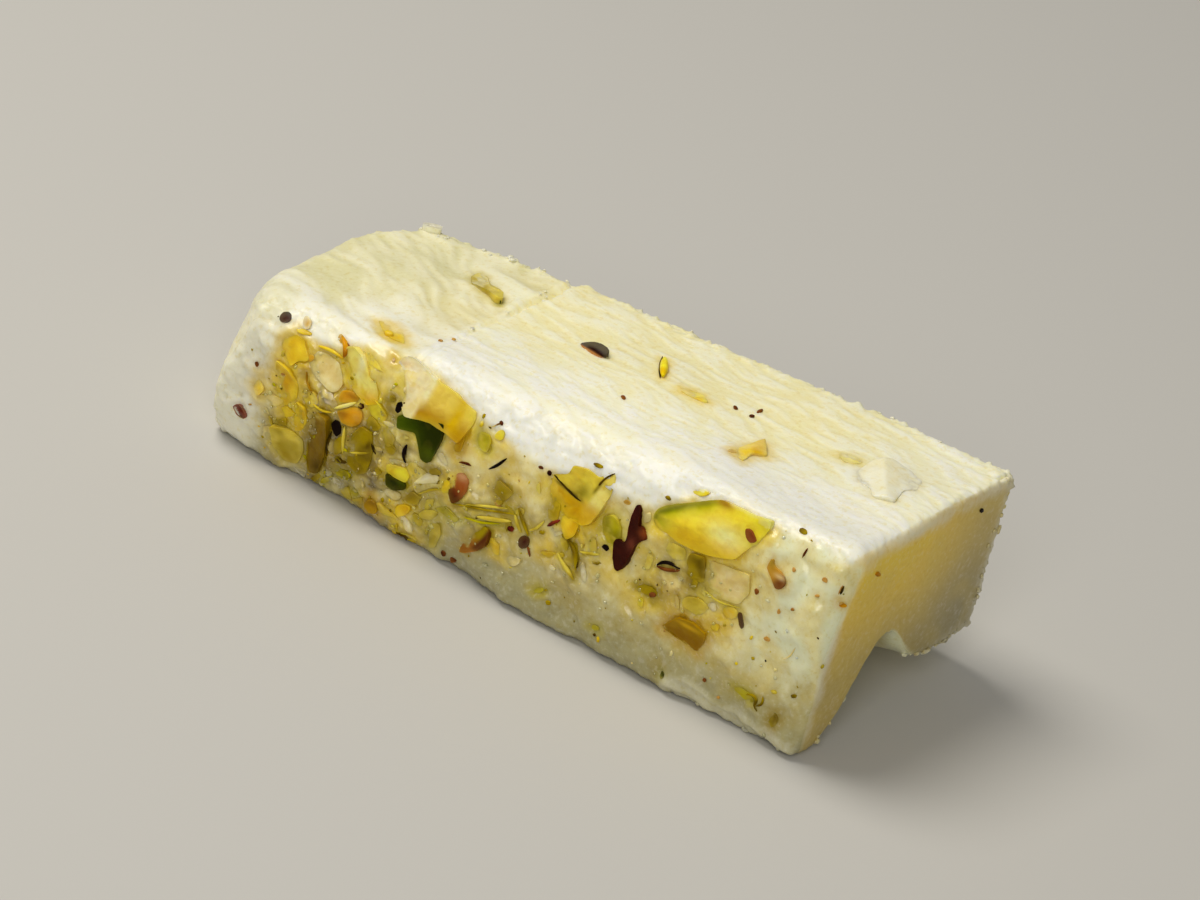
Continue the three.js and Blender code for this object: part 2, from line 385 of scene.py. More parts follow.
def seen_on_end(point):
    share = (RIGHT_GLASS - eye_in_bar.x) / (point.x - eye_in_bar.x)
    crossing = eye_in_bar + (point - eye_in_bar) * share
    return crossing.y, crossing.z


SEEN = {FRONT: seen_on_front, TOP: seen_on_top, END: seen_on_end}


def ring(x, z, length, width, turn_degrees=0.0, corners=7, uneven=0.2, seed=1):
    """A broken outline around a place on the glass."""
    draw = random.Random(seed + 100 * x + 10 * z)
    slant = math.radians(turn_degrees)
    points = []
    for number in range(corners):
        bearing = 2 * math.pi * (number + 0.5 * draw.random()) / corners
        reach = 1 + uneven * (2 * draw.random() - 1)
        along = length / 2 * reach * math.cos(bearing)
        upwards = width / 2 * reach * math.sin(bearing)
        points.append((x + along * math.cos(slant) - upwards * math.sin(slant),
                       z + along * math.sin(slant) + upwards * math.cos(slant)))
    return points


def outline_gap(outline, x, z):
    """How far a place is from an outline; inside it the distance counts as negative."""
    closest = 99.0
    inside = False
    for (x_start, z_start), (x_end, z_end) in zip(outline, outline[1:] + outline[:1]):
        run, rise = x_end - x_start, z_end - z_start
        share = clamp(((x - x_start) * run + (z - z_start) * rise) / (run * run + rise * rise))
        closest = min(closest, math.hypot(x - x_start - share * run, z - z_start - share * rise))
        if (z_start > z) != (z_end > z) and x < x_start + (z - z_start) / rise * run:
            inside = not inside
    return -closest if inside else closest


print("gap to a ring from its middle:", round(outline_gap(ring(0, 10, 3, 2), 0, 10), 2))

# %% Outlines of the large pieces
SLIVER = [(15.2, 17.1), (15.5, 18.1), (16.3, 18.9), (17.5, 19.7), (18.7, 20.4), (20.1, 21.3),
          (21.5, 22.2), (22.5, 22.7), (24.2, 22.8), (26.2, 22.9), (27.6, 23.2), (28.3, 23.2),
          (28.2, 22.4), (27.6, 21.3), (27.0, 20.0), (26.0, 18.6), (25.2, 17.2), (22.8, 16.4),
          (20.3, 15.9), (18.4, 15.8), (17.2, 16.1), (16.2, 16.0), (15.5, 16.4)]
PALE_CHUNK = [(-17.5, 18.2), (-16.6, 19.4), (-15.6, 19.9), (-14.6, 19.8), (-12.2, 19.0),
              (-9.6, 18.6), (-8.3, 18.0), (-7.1, 17.8), (-7.0, 16.8), (-7.5, 15.3), (-8.2, 13.4),
              (-9.6, 13.8), (-12, 14.0), (-15.0, 13.2), (-16.2, 14.6), (-16.6, 16.4)]
YELLOW_CHUNK = [(-23.3, 17.4), (-22.2, 17.9), (-21.2, 17.3), (-20.6, 16.2), (-20.1, 15.2),
                (-19.2, 15.0), (-18.7, 14.0), (-18.5, 12.9), (-19.6, 12.3), (-20.9, 12.7),
                (-22.2, 13.2), (-23.1, 14.3), (-23.5, 15.8)]
FOLDED = [(2.6, 15.4), (3.6, 16.0), (4.8, 16.6), (5.2, 17.9), (7.0, 18.2), (8.3, 17.9), (9.0, 18.9),
          (9.9, 19.2), (10.1, 18.0), (9.9, 16.4), (9.5, 14.5), (8.8, 12.9), (7.8, 12.2),
          (6.2, 12.0), (4.3, 12.6), (3.1, 13.4)]
GREEN_CHIP = [(-15.9, 12.9), (-15.2, 13.4), (-13.0, 14.1), (-10.1, 14.9), (-10.2, 12.8),
              (-10.8, 10.3), (-11.2, 9.7), (-12.0, 9.8), (-12.8, 11.2), (-13.4, 12.2),
              (-14.8, 11.8), (-15.6, 11.6)]
AMBER_CHIP = [(19.1, 6.2), (19.9, 7.4), (20.7, 8.3), (22.4, 8.7), (24.3, 8.2), (24.2, 7.1),
              (23.7, 5.8), (22.6, 5.9), (21.0, 6.1)]
OLIVE_CHUNK = [(-26.4, 6.9), (-25.3, 8.6), (-23.6, 8.9), (-23.3, 7.0), (-23.2, 4.6), (-23.4, 2.4),
               (-24.6, 2.1), (-25.3, 3.6), (-25.7, 5.2)]
SKIN_FLAKE = [(13.1, 17.2), (13.4, 17.6), (13.8, 17.2), (14.0, 16.0), (14.1, 15.2), (14.4, 15.6),
              (14.9, 15.1), (15.2, 14.4), (14.6, 13.9), (14.2, 13.2), (14.1, 12.2), (13.9, 11.0),
              (13.4, 10.1), (12.8, 9.4), (12.4, 9.6), (12.1, 10.8), (11.7, 12.3), (12.0, 12.9),
              (12.9, 12.8), (13.2, 13.5), (13.1, 14.8), (13.0, 16.0)]
print("the sliver has", len(SLIVER), "corners")

# %% Yellow and golden bits
# sort, how far it stands proud, sheet of glass, outline
YELLOW_BITS = [
    ("gold", 0.30, FRONT, [(-31.3, 14.2), (-29.8, 15.5), (-28.6, 15.4), (-28, 14.3), (-27.6, 13.8),
                           (-27.8, 13.2), (-28.8, 12.9), (-29.5, 11.8), (-30.4, 12.8),
                           (-31.2, 13.3)]),
    ("gold", 0.10, FRONT, [(-31.4, 11.8), (-29.6, 11.5), (-28.2, 10.2), (-28, 8.6), (-29.2, 7.4),
                           (-30.8, 8.6)]),
    ("gold", 0.3, FRONT, ring(-28.8, 17.4, 1.6, 1.1, 70)),
    ("gold", 0.12, FRONT, ring(-29.0, 16.2, 2.2, 0.6, 12)),
    ("straw", 0.2, FRONT, [(-30.2, 4.8), (-28.5, 5.2), (-26.2, 4.8), (-25.8, 3.5), (-26.2, 2),
                           (-28, 1.4), (-29.5, 2.5)]),
    ("lemon", 0.2, FRONT, [(-20.2, 13.4), (-18.4, 13.2), (-17, 12.2), (-17.4, 11.2), (-18.8, 11.4),
                           (-19.8, 12.2)]),
    ("lemon", 0.25, FRONT, [(-15.9, 7.3), (-13.6, 8), (-12.9, 7.4), (-13, 6.6), (-14.4, 6.4),
                            (-15.8, 6.4)]),
    ("moss", 0.15, FRONT, ring(-5.4, 15.2, 1.8, 2.4, 10)),
    ("lemon", 0.12, FRONT, ring(-3.9, 16.7, 1.0, 1.5, -20)),
    ("gold", 0.22, FRONT, [(5.0, 12.8), (7.4, 12.4), (7.2, 10.6), (6.4, 9.8), (5.4, 10.8)]),
    ("lemon", 0.2, FRONT, ring(19.6, 22.1, 2.4, 0.8, 24)),
    ("beige", 0.25, FRONT, [(22.6, 15.8), (25, 16.2), (27.2, 16.6), (27.6, 14.6), (26.8, 12.9),
                            (24.6, 12.4), (22.9, 12.9)]),
    ("straw", 0.18, FRONT, [(17.6, 15.4), (19.6, 15.6), (19.9, 14.4), (18.6, 13.8), (17.4, 14.2)]),
    ("lemon", 0.25, FRONT, ring(-11.6, 0.7, 2.4, 0.8, 8)),
    ("gold", 0.15, FRONT, ring(-12.6, 15.3, 0.9, 1.0, 0)),
    ("lemon", 0.15, FRONT, ring(-8.5, 8.4, 1.0, 1.9, 0)),
    ("straw", 0.15, FRONT, ring(-9.8, 4.4, 2.4, 1.2, 35)),
    ("lemon", 0.15, FRONT, ring(16.2, 7.5, 0.9, 1.3, 0)),
    ("gold", 0.15, FRONT, ring(26.2, 11.6, 1.8, 1.4, 30)),
    ("straw", 0.15, FRONT, ring(9.4, 10.6, 1.2, 2.2, 12)),
    ("lemon", 0.15, TOP, ring(6.8, 1.8, 4.0, 1.4, -8)),
    ("orange", 0.12, TOP, ring(16.7, -5.6, 1.0, 0.8, 20)),
    ("gold", 0.12, TOP, [(16.6, -4.5), (17.8, -1.4), (19.6, -3.6), (18.4, -4.6), (18.6, -6.6),
                         (17.6, -6.0)]),
    ("gold", 0.1, TOP, [(-23.4, -11.0), (-21.6, -10.6), (-19.8, -11.4), (-18.4, -13.2),
                        (-20, -13.4), (-21.6, -12.6)]),
    ("pale", 0.15, TOP, ring(25.2, 3.0, 2.8, 2.2, 0)),
    ("olive", 0.15, FRONT, ring(18.2, 12.75, 2.2, 0.6, 15)),
]
print("yellow bits:", len(YELLOW_BITS))

# %% Steeped bits, from olive to orange
STEEPED_BITS = [
    ("straw", 0.7, TOP, [(-23.8, 7.2), (-22.5, 7), (-20.8, 5), (-18.6, 4.2), (-17.8, 3),
                         (-18.3, 2.4), (-20, 3.4), (-22.6, 4.2), (-23.6, 5.5)]),
    ("moss", 0.22, FRONT, ring(11.0, 13.4, 2.5, 3.2, 10, corners=9, uneven=0.1)),
    ("olive", 0.3, FRONT, [(-19.7, 9.9), (-18.4, 9.6), (-17.8, 8), (-17.8, 6.5), (-18, 5),
                           (-19, 4.4), (-20.5, 5), (-20.8, 6.5), (-20.6, 8.4)]),
    ("orange", 0.25, FRONT, [(-23, 9.9), (-21.4, 11.2), (-20.3, 11.5), (-19.8, 10.6), (-20, 9.8),
                             (-21, 9), (-22.2, 9)]),
    ("orange", 0.2, FRONT, [(-23.1, 10.9), (-22.9, 12.4), (-21.9, 12.9), (-20.7, 12.5),
                            (-21, 11.9), (-22.3, 11.2)]),
    ("gold", 0.18, FRONT, [(-28, 8.6), (-26.7, 8.4), (-26.2, 7.2), (-26.4, 5.8), (-27.3, 5.4),
                           (-27.9, 6.6)]),
    ("olive", 0.2, FRONT, ring(-21.9, 6.3, 1.3, 2.6, -12)),
    ("moss", 0.15, FRONT, ring(-20.6, 3.6, 2.6, 1.1, 12)),
    ("amber", 0.15, FRONT, ring(-16.6, 1.9, 1.7, 1.6, 0)),
    ("gold", 0.2, FRONT, ring(-12.9, 3.4, 2.2, 1.3, 40)),
    ("straw", 0.15, FRONT, ring(-10.9, 3.2, 1.8, 1.0, -35)),
    ("olive", 0.15, FRONT, ring(-15.9, 9.0, 1.5, 1.3, 0)),
    ("olive", 0.12, FRONT, ring(-17.0, 14.3, 0.9, 0.9, 30)),
    ("amber", 0.15, FRONT, [(-8.9, 15.6), (-7.9, 15.8), (-7.7, 14.4), (-7.9, 12.6), (-8.7, 12.4),
                            (-8.9, 14)]),
    ("olive", 0.2, FRONT, [(20.2, 15.5), (21.9, 15.9), (22.3, 14.2), (22.5, 13.1), (21.3, 12.7),
                           (20.3, 13.1), (20, 14.5)]),
    ("olive", 0.12, FRONT, ring(16.6, 9.2, 2.6, 1.1, 14)),
    ("straw", 0.15, FRONT, ring(22.2, 10.4, 3.6, 1.8, 8)),
    ("moss", 0.12, FRONT, ring(4.7, 2.9, 1.5, 0.6, 35)),
    ("moss", 0.1, FRONT, ring(12.0, 2.3, 1.0, 0.7, 10)),
    ("olive", 0.15, FRONT, ring(7.6, 8.9, 1.0, 2.2, 20)),
    ("olive", 0.1, FRONT, ring(33.8, 3.1, 1.0, 1.6, 0)),
    ("moss", 0.1, FRONT, ring(30.0, 4.1, 2.6, 1.0, -8)),
    ("straw", 0.12, FRONT, ring(0.4, 10.0, 1.4, 1.0, 40)),
    ("straw", 0.12, FRONT, ring(6.2, 9.2, 1.6, 0.9, -40)),
    ("olive", 0.12, FRONT, ring(-10.2, 9.2, 1.5, 0.9, 15)),
    ("gold", 0.12, FRONT, ring(24.9, 9.2, 1.3, 0.8, 50)),
    ("orange", 0.15, FRONT, ring(-27.5, 13.9, 0.8, 1.2, -40)),
    ("orange", 0.15, FRONT, ring(-24.3, 17.6, 1.3, 0.9, -20)),
    ("orange", 0.12, FRONT, ring(-17.9, 18.4, 0.6, 0.5, 30)),
    ("orange", 0.12, FRONT, ring(12.0, 17.0, 0.9, 0.6, 10)),
    ("orange", 0.12, FRONT, ring(37.6, 18.7, 0.9, 0.5, 25)),
    ("gold", 0.15, TOP, ring(-20.6, -12.9, 1.0, 0.8, 0)),
]
GREEN_BITS = [
    ("green", 0.35, FRONT, [(-15.8, 6.2), (-14.6, 6.3), (-13.1, 6.4), (-13, 5.7), (-14.4, 5.0),
                            (-15.4, 5.0)]),
    ("green", 0.15, TOP, ring(-18.3, 3.1, 1.2, 0.5, -38)),
    ("green", 0.1, FRONT, ring(20.6, 1.3, 0.5, 1.2, 0)),
]
print("steeped and green bits:", len(STEEPED_BITS), len(GREEN_BITS))

# %% Flecks of skin and pale flakes
SKIN_FLECKS = [
    ("redchip", 0.3, FRONT, [(-8.2, 8.6), (-7.6, 10.4), (-6.9, 10.8), (-6, 10.2), (-6, 9),
                             (-6.6, 7.6), (-7.3, 6.9), (-8.1, 7.8)]),
    ("maroon", 0.2, FRONT, [(-32.3, 16.1), (-31.9, 17), (-30.9, 17.4), (-30.7, 16.6),
                            (-31.6, 15.8)]),
    ("russet", 0.55, FRONT, [(-35.3, 4.3), (-34.6, 5.0), (-33.9, 4.8), (-33.2, 4.1), (-33.6, 3.6),
                             (-34.6, 3.6)]),
    ("maroon", 0.2, FRONT, [(1.1, 7.3), (1.7, 7.9), (2.4, 7.7), (2.3, 6.7), (1.7, 6.2),
                            (1.2, 6.4)]),
    ("russet", 0.45, FRONT, [(25.6, 21.2), (26.2, 21.2), (27, 20.3), (26.4, 19.7), (25.8, 20.2)]),
    ("crescent", 0.2, TOP, [(-7.2, 1.9), (-6.8, 2.5), (-6.1, 2.85), (-5.2, 2.85), (-4.3, 2.5),
                            (-3.6, 1.9), (-3.4, 1.35), (-3.9, 1.0), (-4.8, 0.95), (-5.8, 1.2),
                            (-6.6, 1.5)]),
    ("maroon", 0.2, FRONT, [(26.9, 12), (27.3, 12.3), (27.7, 11.6), (28.1, 10.9), (27.8, 10.5),
                            (27.4, 11)]),
    ("wedge", 0.45, FRONT, [(-5.2, 2.4), (-5, 3.9), (-4, 5.2), (-3, 6.6), (-2.1, 6.3), (-2.2, 4.6),
                           (-3.2, 3.5), (-4.5, 2.6)]),
    ("chestnut", 0.3, FRONT, [(28.8, 18.3), (29.1, 19.7), (29.5, 18.8), (30.8, 18.3), (31.2, 17.6),
                              (30.9, 16.8), (30.4, 16.6), (29.6, 17.4)]),
]
PALE_FLAKES = [
    ("beige", 0.3, FRONT, [(-26.8, 15.1), (-25.5, 15.3), (-24, 15), (-23.4, 14), (-23, 13),
                           (-23.4, 12), (-24, 11.5), (-25.4, 11.9), (-27, 12.5), (-27.6, 13.4)]),
    ("mauve", 0.2, FRONT, [(-25.6, 11), (-24, 11.6), (-23.2, 10.8), (-23.2, 10), (-24.5, 9.4),
                           (-25.8, 9.3)]),
    ("milk", 0.55, TOP, [(27.1, 1.4), (27.4, 3.6), (28.8, 5.2), (30.8, 5.6), (32.7, 4.8),
                         (33.4, 2.6), (32.6, 1.6), (33.4, -1.6), (31.4, -2.4), (30.2, -1.0),
                         (28.4, -0.6)]),
    ("milk", 0.7, TOP, [(-35.4, 12.6), (-34.9, 14.4), (-33.2, 14.2), (-32.6, 12.6), (-34, 11.8)]),
    ("beige", 0.15, FRONT, ring(14.6, 16.6, 0.8, 1.6, -15)),
    ("beige", 0.2, FRONT, ring(-14.6, 8.1, 2.6, 0.5, 16)),
    ("beige", 0.15, FRONT, ring(-14.4, 4.4, 2.4, 1.0, 8)),
    ("beige", 0.15, FRONT, ring(1.0, 4.5, 2.0, 1.1, 40)),
]
print("flecks and flakes:", len(SKIN_FLECKS), len(PALE_FLAKES))

# %% Strands and specks
# sort, width, sheet of glass, the points that it runs through
STRANDS = [
    ("olive", 0.28, FRONT, [(-7.4, 6.9), (-3.4, 8.2), (0.2, 9.5)]),
    ("straw", 0.5, FRONT, [(-4.2, 7.0), (-2.2, 7.7), (-0.2, 8.5)]),
    ("straw", 0.3, FRONT, [(-5.8, 7.6), (-3.0, 8.8), (-1.0, 9.6)]),
    ("moss", 0.3, FRONT, [(-5.6, 6.2), (-3.6, 6.6), (-1.4, 7.6)]),
    ("olive", 0.4, FRONT, [(0.2, 10.3), (1.2, 9), (2.1, 8)]),
    ("straw", 0.4, FRONT, [(0.0, 9.4), (0.6, 8.4), (1.2, 7.9)]),
    ("olive", 0.5, FRONT, [(6.4, 10), (7.6, 9.2), (8.1, 8), (8.2, 7.2)]),
    ("straw", 0.5, FRONT, [(5.8, 7.9), (7.0, 7.0), (8.3, 6.1)]),
    ("straw", 0.35, FRONT, [(8.2, 9.3), (9.2, 9.6), (10.4, 10.1)]),
    ("gold", 0.4, FRONT, [(-26.9, 15.6), (-25.2, 15.9), (-23.7, 15.7)]),
    ("orange", 0.65, FRONT, [(-24.4, 17.9), (-23.8, 17.4), (-23.5, 16.8), (-23.6, 15.9)]),
    ("pale", 0.45, FRONT, [(-23.4, 10.0), (-22.2, 10.9), (-21.0, 11.9)]),
    ("straw", 0.4, FRONT, [(-21.7, 8.7), (-21.5, 7.2), (-21.2, 5.8)]),
    ("straw", 0.3, FRONT, [(-20.4, 6.3), (-19.2, 6.8), (-18.0, 7.5)]),
    ("gold", 0.3, FRONT, [(-26.0, 9.2), (-24.6, 9.0), (-23.6, 9.4)]),
    ("lemon", 0.9, TOP, [(0.4, 6.2), (1.7, 4.2), (2.7, 2.5)]),
    ("straw", 0.22, FRONT, [(22.6, 12.4), (24.6, 12.0), (27.0, 12.6)]),
    ("gold", 0.35, FRONT, [(20.4, 15.8), (22.8, 16.5), (25.2, 17.3)]),
    ("straw", 0.35, FRONT, [(2.0, 8.6), (2.8, 9.2), (3.4, 10.4)]),
    ("straw", 0.3, FRONT, [(-11.4, 6.0), (-9.8, 7.4), (-8.8, 7.8)]),
    ("amber", 0.3, FRONT, [(-27.6, 12.2), (-27.2, 11.0), (-26.2, 10.2)]),
]
DARK_THREADS = [
    ("black", 0.34, FRONT, [(-4.2, 12.6), (-3.4, 13.4), (-2.5, 14.7)]),
    ("russet", 0.45, FRONT, [(3.9, 10.1), (4.5, 10.8), (5.1, 11.4)]),
    ("brown", 0.35, FRONT, [(-7.7, 11.6), (-7.0, 12.0), (-6.3, 11.9)]),
    ("black", 0.5, FRONT, [(-14.1, 10.4), (-14.3, 9.4), (-13.7, 8.4)]),
    ("black", 0.4, FRONT, [(16.9, 12.3), (17.4, 13.0), (18.4, 13.3), (19.5, 13.2)]),
    ("brown", 0.4, FRONT, [(16.9, 12.2), (18.0, 12.3), (19.5, 13.0)]),
    ("brown", 0.3, FRONT, [(2.2, 6.9), (2.6, 6.4), (2.8, 5.9)]),
    ("umber", 0.35, FRONT, [(-23.1, 7.4), (-23.2, 6.0), (-23.0, 4.6)]),
    ("umber", 0.3, FRONT, [(-18.2, 8.6), (-17.9, 8.0), (-17.4, 7.6)]),
    ("umber", 0.32, FRONT, [(7.5, 14.5), (6.2, 14.6), (4.8, 15.1), (3.2, 15.7)]),
    ("umber", 0.3, FRONT, [(7.4, 14.6), (7.9, 15.8), (8.5, 17.4), (9.1, 18.5), (9.8, 19.2)]),
    ("brown", 0.25, FRONT, [(32.1, 21.1), (32.3, 21.8), (32.4, 22.3)]),
    ("fawn", 0.2, FRONT, [(36.9, 19.4), (37.0, 20.0), (37.1, 20.5)]),
    ("olive", 0.35, FRONT, [(30.2, 4.2), (30.9, 4.7), (31.6, 4.4), (31.2, 3.5), (31.8, 3.1)]),
    ("olive", 0.3, FRONT, [(31.6, 3.6), (32.3, 4.2), (32.0, 4.9)]),
    ("beige", 0.16, FRONT, [(33.0, 9.8), (33.7, 10.5), (34.0, 11.7)]),
    ("brown", 0.22, FRONT, [(-5.0, 17.1), (-4.4, 17.7), (-4.0, 18.1)]),
    ("umber", 0.3, TOP, [(-0.1, 6.6), (0.6, 5.2), (1.6, 3.6), (2.6, 2.2)]),
]
# sort, sheet of glass, x, z, length, width, turn
SPECKS = [
    ("black", FRONT, -22.7, 8.1, 1.3, 1.8, 12), ("black", FRONT, -16.0, 13.8, 0.8, 1.4, -10),
    ("black", FRONT, 10.9, 11.2, 0.8, 0.75, 0), ("maroon", FRONT, -20.4, 11.8, 0.75, 0.7, 20),
    ("brown", FRONT, -33.6, 10.1, 0.55, 0.6, 0), ("russet", FRONT, -0.1, 7.7, 0.8, 0.7, 30),
    ("brown", FRONT, 1.5, 15.7, 0.6, 0.4, 0), ("maroon", FRONT, 2.6, 15.6, 0.65, 0.55, 30),
    ("olive", FRONT, 7.8, 19.1, 1.1, 0.6, 8), ("brown", FRONT, -4.1, 18.0, 0.5, 0.5, 0),
    ("brown", FRONT, 17.3, 9.0, 0.8, 0.6, 30), ("fawn", FRONT, 31.6, 19.4, 0.45, 0.5, 0),
    ("fawn", FRONT, 35.1, 20.1, 0.7, 0.6, 0), ("fawn", FRONT, 34.8, 18.1, 0.6, 0.3, 30),
    ("fawn", FRONT, 31.2, 14.4, 0.4, 0.6, 0), ("fawn", FRONT, 32.6, 15.4, 0.35, 0.35, 0),
    ("fawn", FRONT, 30.8, 11.0, 0.8, 0.5, 0), ("brown", FRONT, 25.3, 3.3, 0.45, 0.4, 0),
    ("fawn", FRONT, 27.3, 2.3, 0.4, 0.35, 0), ("olive", FRONT, 31.4, 23.7, 1.1, 0.6, 10),
    ("olive", FRONT, 6.1, 2.2, 0.7, 0.6, 0), ("brown", FRONT, -7.0, 1.2, 0.65, 0.6, 0),
    ("brown", FRONT, -5.7, 1.1, 0.8, 0.5, 0), ("umber", FRONT, -21.2, 4.9, 1.3, 0.5, 8),
    ("umber", FRONT, -12.2, 0.6, 1.6, 0.4, 8), ("olive", FRONT, 16.2, 19.7, 0.7, 0.5, 0),
    ("umber", FRONT, 7.5, 9.2, 0.6, 0.6, 0), ("umber", FRONT, 8.1, 7.8, 0.5, 0.9, 10),
    ("brown", FRONT, -23.6, 17.2, 0.6, 0.8, 20), ("brown", FRONT, 14.6, 17.0, 0.4, 0.4, 0),
    ("brown", FRONT, 28.3, 15.2, 0.5, 0.6, 20),
    ("olive", FRONT, 21.4, 21.3, 0.8, 0.4, 30), ("black", END, 9.0, 21.2, 0.95, 0.5, -25),
    ("orange", END, -10.0, 20.3, 1.2, 0.5, -28), ("orange", END, -15.6, 18.7, 1.8, 0.45, -22),
    ("umber", END, -16.6, 20.8, 0.7, 1.0, 0), ("brown", TOP, 2.8, -4.7, 0.9, 0.5, -45),
    ("brown", TOP, 11.4, 2.9, 0.8, 0.5, -45), ("brown", TOP, 13.4, 4.4, 0.5, 1.1, 0),
    ("brown", TOP, 13.5, 2.7, 0.6, 0.6, 0), ("fawn", TOP, -15.9, -8.2, 0.45, 0.4, 0),
    ("fawn", TOP, -16.5, -9.6, 0.5, 0.35, 30),
]
print("strands, dark threads and specks:", len(STRANDS), len(DARK_THREADS), len(SPECKS))

# %% [markdown]
# Between the pieces that stand out lie many that do not: small soft chips, most of them in a few
# crowded places. They are strewn by a seeded shuffle that keeps clear of the pieces listed above.

# %% Chips between the chips
# x and z of the middle, reach along, reach up, strength
CROWDS = [(-22.5, 7.5, 9.0, 7.5, 1.0), (-13.5, 6.0, 6.5, 6.0, 0.8), (-5, 7.0, 5.0, 3.6, 0.55),
          (6.6, 9.3, 4.0, 4.6, 0.6), (20.6, 11.4, 5.4, 4.0, 0.5),
          (-29.0, 8.0, 2.6, 4.0, 0.35)]
FILLERS = 56
FILLER_SORTS = ("straw", "milk", "moss", "olive", "olive", "gold", "pale", "beige", "milk")


def crowd_at(x, z):
    wander = noise.noise_vector(Vector((x * 0.3, z * 0.3, 21)))
    x += 1.6 * wander.x
    z += 1.6 * wander.y
    reach = [strength * math.exp(-(((x - mx) / along) ** 2 + ((z - mz) / upwards) ** 2) ** 1.5)
             for mx, mz, along, upwards, strength in CROWDS]
    return max(reach)


listed = [SLIVER, PALE_CHUNK, YELLOW_CHUNK, FOLDED, GREEN_CHIP, AMBER_CHIP, OLIVE_CHUNK, SKIN_FLAKE]
for table in (YELLOW_BITS, STEEPED_BITS, GREEN_BITS, SKIN_FLECKS, PALE_FLAKES):
    listed += [row[3] for row in table if row[2] is FRONT]
shuffle = random.Random(5)
FILLER_BITS = []
while len(FILLER_BITS) < FILLERS:
    x, z = shuffle.uniform(-33, 36), shuffle.uniform(0.8, 17)
    if shuffle.random() > crowd_at(x, z) or z > garnish_top(x) - 0.8:
        continue
    length = shuffle.uniform(1.0, 3.4)
    if min(outline_gap(outline, x, z) for outline in listed) < 0.18 * length:
        continue
    outline = ring(x, z, length, length * shuffle.uniform(0.35, 0.75), shuffle.uniform(-90, 90),
                   corners=shuffle.choice((3, 4, 4, 5)), uneven=0.35)
    FILLER_BITS.append((shuffle.choice(FILLER_SORTS), shuffle.uniform(0.06, 0.22), FRONT, outline))
    listed.append(outline)
print("chips strewn between:", len(FILLER_BITS))

# %% [markdown]
# ## The colours
# The colour is painted on the points of the mesh, as a glaze is brushed on a cake: one function
# for each side says what lies there. Nodes could do it all, but the points know where they are on
# the bar, and a chip that sinks in can ask the same function for the colour at its rim.

# %% Colour helpers


def hue(code):
    """A colour as painters' hex code, turned to the linear values that Blender computes with."""
    channels = [int(code[i:i + 2], 16) / 255 for i in (0, 2, 4)]
    linear = [c / 12.92 if c <= 0.04045 else ((c + 0.055) / 1.055) ** 2.4 for c in channels]
    return (*linear, 1)


def mixed(first, second, share):
    share = clamp(share)
    return tuple(lerp(start, end, share) for start, end in zip(first, second))


def cloud(scale, seed, *place):
    """Smooth noise from 0 to 1; scale is given per millimetre, for each axis or for all."""
    scales = scale if isinstance(scale, tuple) else (scale,) * len(place)
    spot = [value * factor for value, factor in zip(place, scales)]
    return 0.5 + 0.5 * noise.noise(Vector((*spot, seed) if len(spot) == 2 else spot))


# Some of these tones are painted light and shade: the shade low on the studded face, the grey and the
# honey of the right end, and the white of the worn ridge.
FUDGE = {name: hue(code) for name, code in (
    ("white", "fefcf0"), ("cream", "f9f2c4"), ("butter", "f0e4a0"), ("sage", "dedcae"),
    ("milky", "f0e3a2"), ("straw", "e4c850"), ("painted_low_shade", "a8a276"), ("clear", "eeebd4"),
    ("end_painted_light", "ffd62c"), ("end_painted_shade", "a2966a"), ("end_painted_half_shade", "dcc062"), ("rim", "efe9ca"),
    ("lemon", "eed010"), ("amber", "dcb40c"), ("olive", "a08800"), ("umber", "543e00"),
    ("mint", "eceec8"), ("ridge", "ecede6"))}

# light and deep tone of each sort of chip
SORTS = {name: (hue(light), hue(deep)) for name, light, deep in (
    ("lemon", "fdee34", "f2ca08"), ("pale", "fdee8a", "f2d63c"), ("gold", "f8d430", "dcaa08"),
    ("amber", "bc8e00", "885f00"), ("olive", "aa9200", "6e5800"), ("moss", "c6ba00", "928800"),
    ("green", "3c4c00", "242c00"), ("orange", "e2a012", "a8690a"), ("brown", "8e5420", "54260a"),
    ("russet", "86321a", "46100a"), ("maroon", "40120a", "220604"), ("black", "160a05", "0a0302"),
    ("umber", "5e4600", "302200"), ("fawn", "cfa050", "a87430"), ("beige", "f6e29e", "e8ce7e"),
    ("mauve", "f8e6c8", "ead0a8"), ("milk", "fbf6dc", "f4ecc6"), ("straw", "e2cc4c", "b0981a"))}
print("tones of fudge and sorts of chip:", len(FUDGE), len(SORTS))


# %% Pieces with several tones
def spot(x, z, middle_x, middle_z, along, upwards):
    """1 in the middle of a soft oval mark and 0 away from it."""
    return math.exp(-((x - middle_x) / along) ** 2 - ((z - middle_z) / upwards) ** 2)


def wedge_tone(point, x, z):
    """Orange at its low left point, olive on top and brown at its right edge."""
    tone = mixed(hue("a2661c"), hue("a08c00"), smoothstep(z, 3.6, 5.4))
    right_edge = -4.2 + 0.75 * (z - 2.6) - 0.06 * (z - 2.6) ** 2
    return mixed(tone, hue("5e2c0a"), smoothstep(x - right_edge, -0.7, -0.1)
                 * smoothstep(z, 2.9, 3.6))


def red_chip_tone(point, x, z):
    tone = mixed(hue("a2561e"), hue("501804"), 1 - smoothstep(z + 0.5 * (x + 7), 7.4, 9.2))
    return mixed(tone, hue("d9a878"), 0.7 * spot(x, z, -7.0, 10.3, 0.8, 0.5))


def crescent_tone(point, x, z):
    return mixed(hue("b8742c"), hue("260a04"), smoothstep(z + 0.2 * (x + 5), 1.25, 1.75))


def chestnut_tone(point, x, z):
    tone = mixed(hue("c89222"), hue("7a3c06"), smoothstep(x + 0.7 * (18 - z), 29.7, 30.9))
    tone = mixed(tone, hue("a68a12"), 0.8 * spot(x, z, 29.1, 19.0, 0.5, 0.7))
    return mixed(tone, hue("f0d494"), 0.8 * spot(x, z, 30.3, 17.9, 0.6, 0.3))


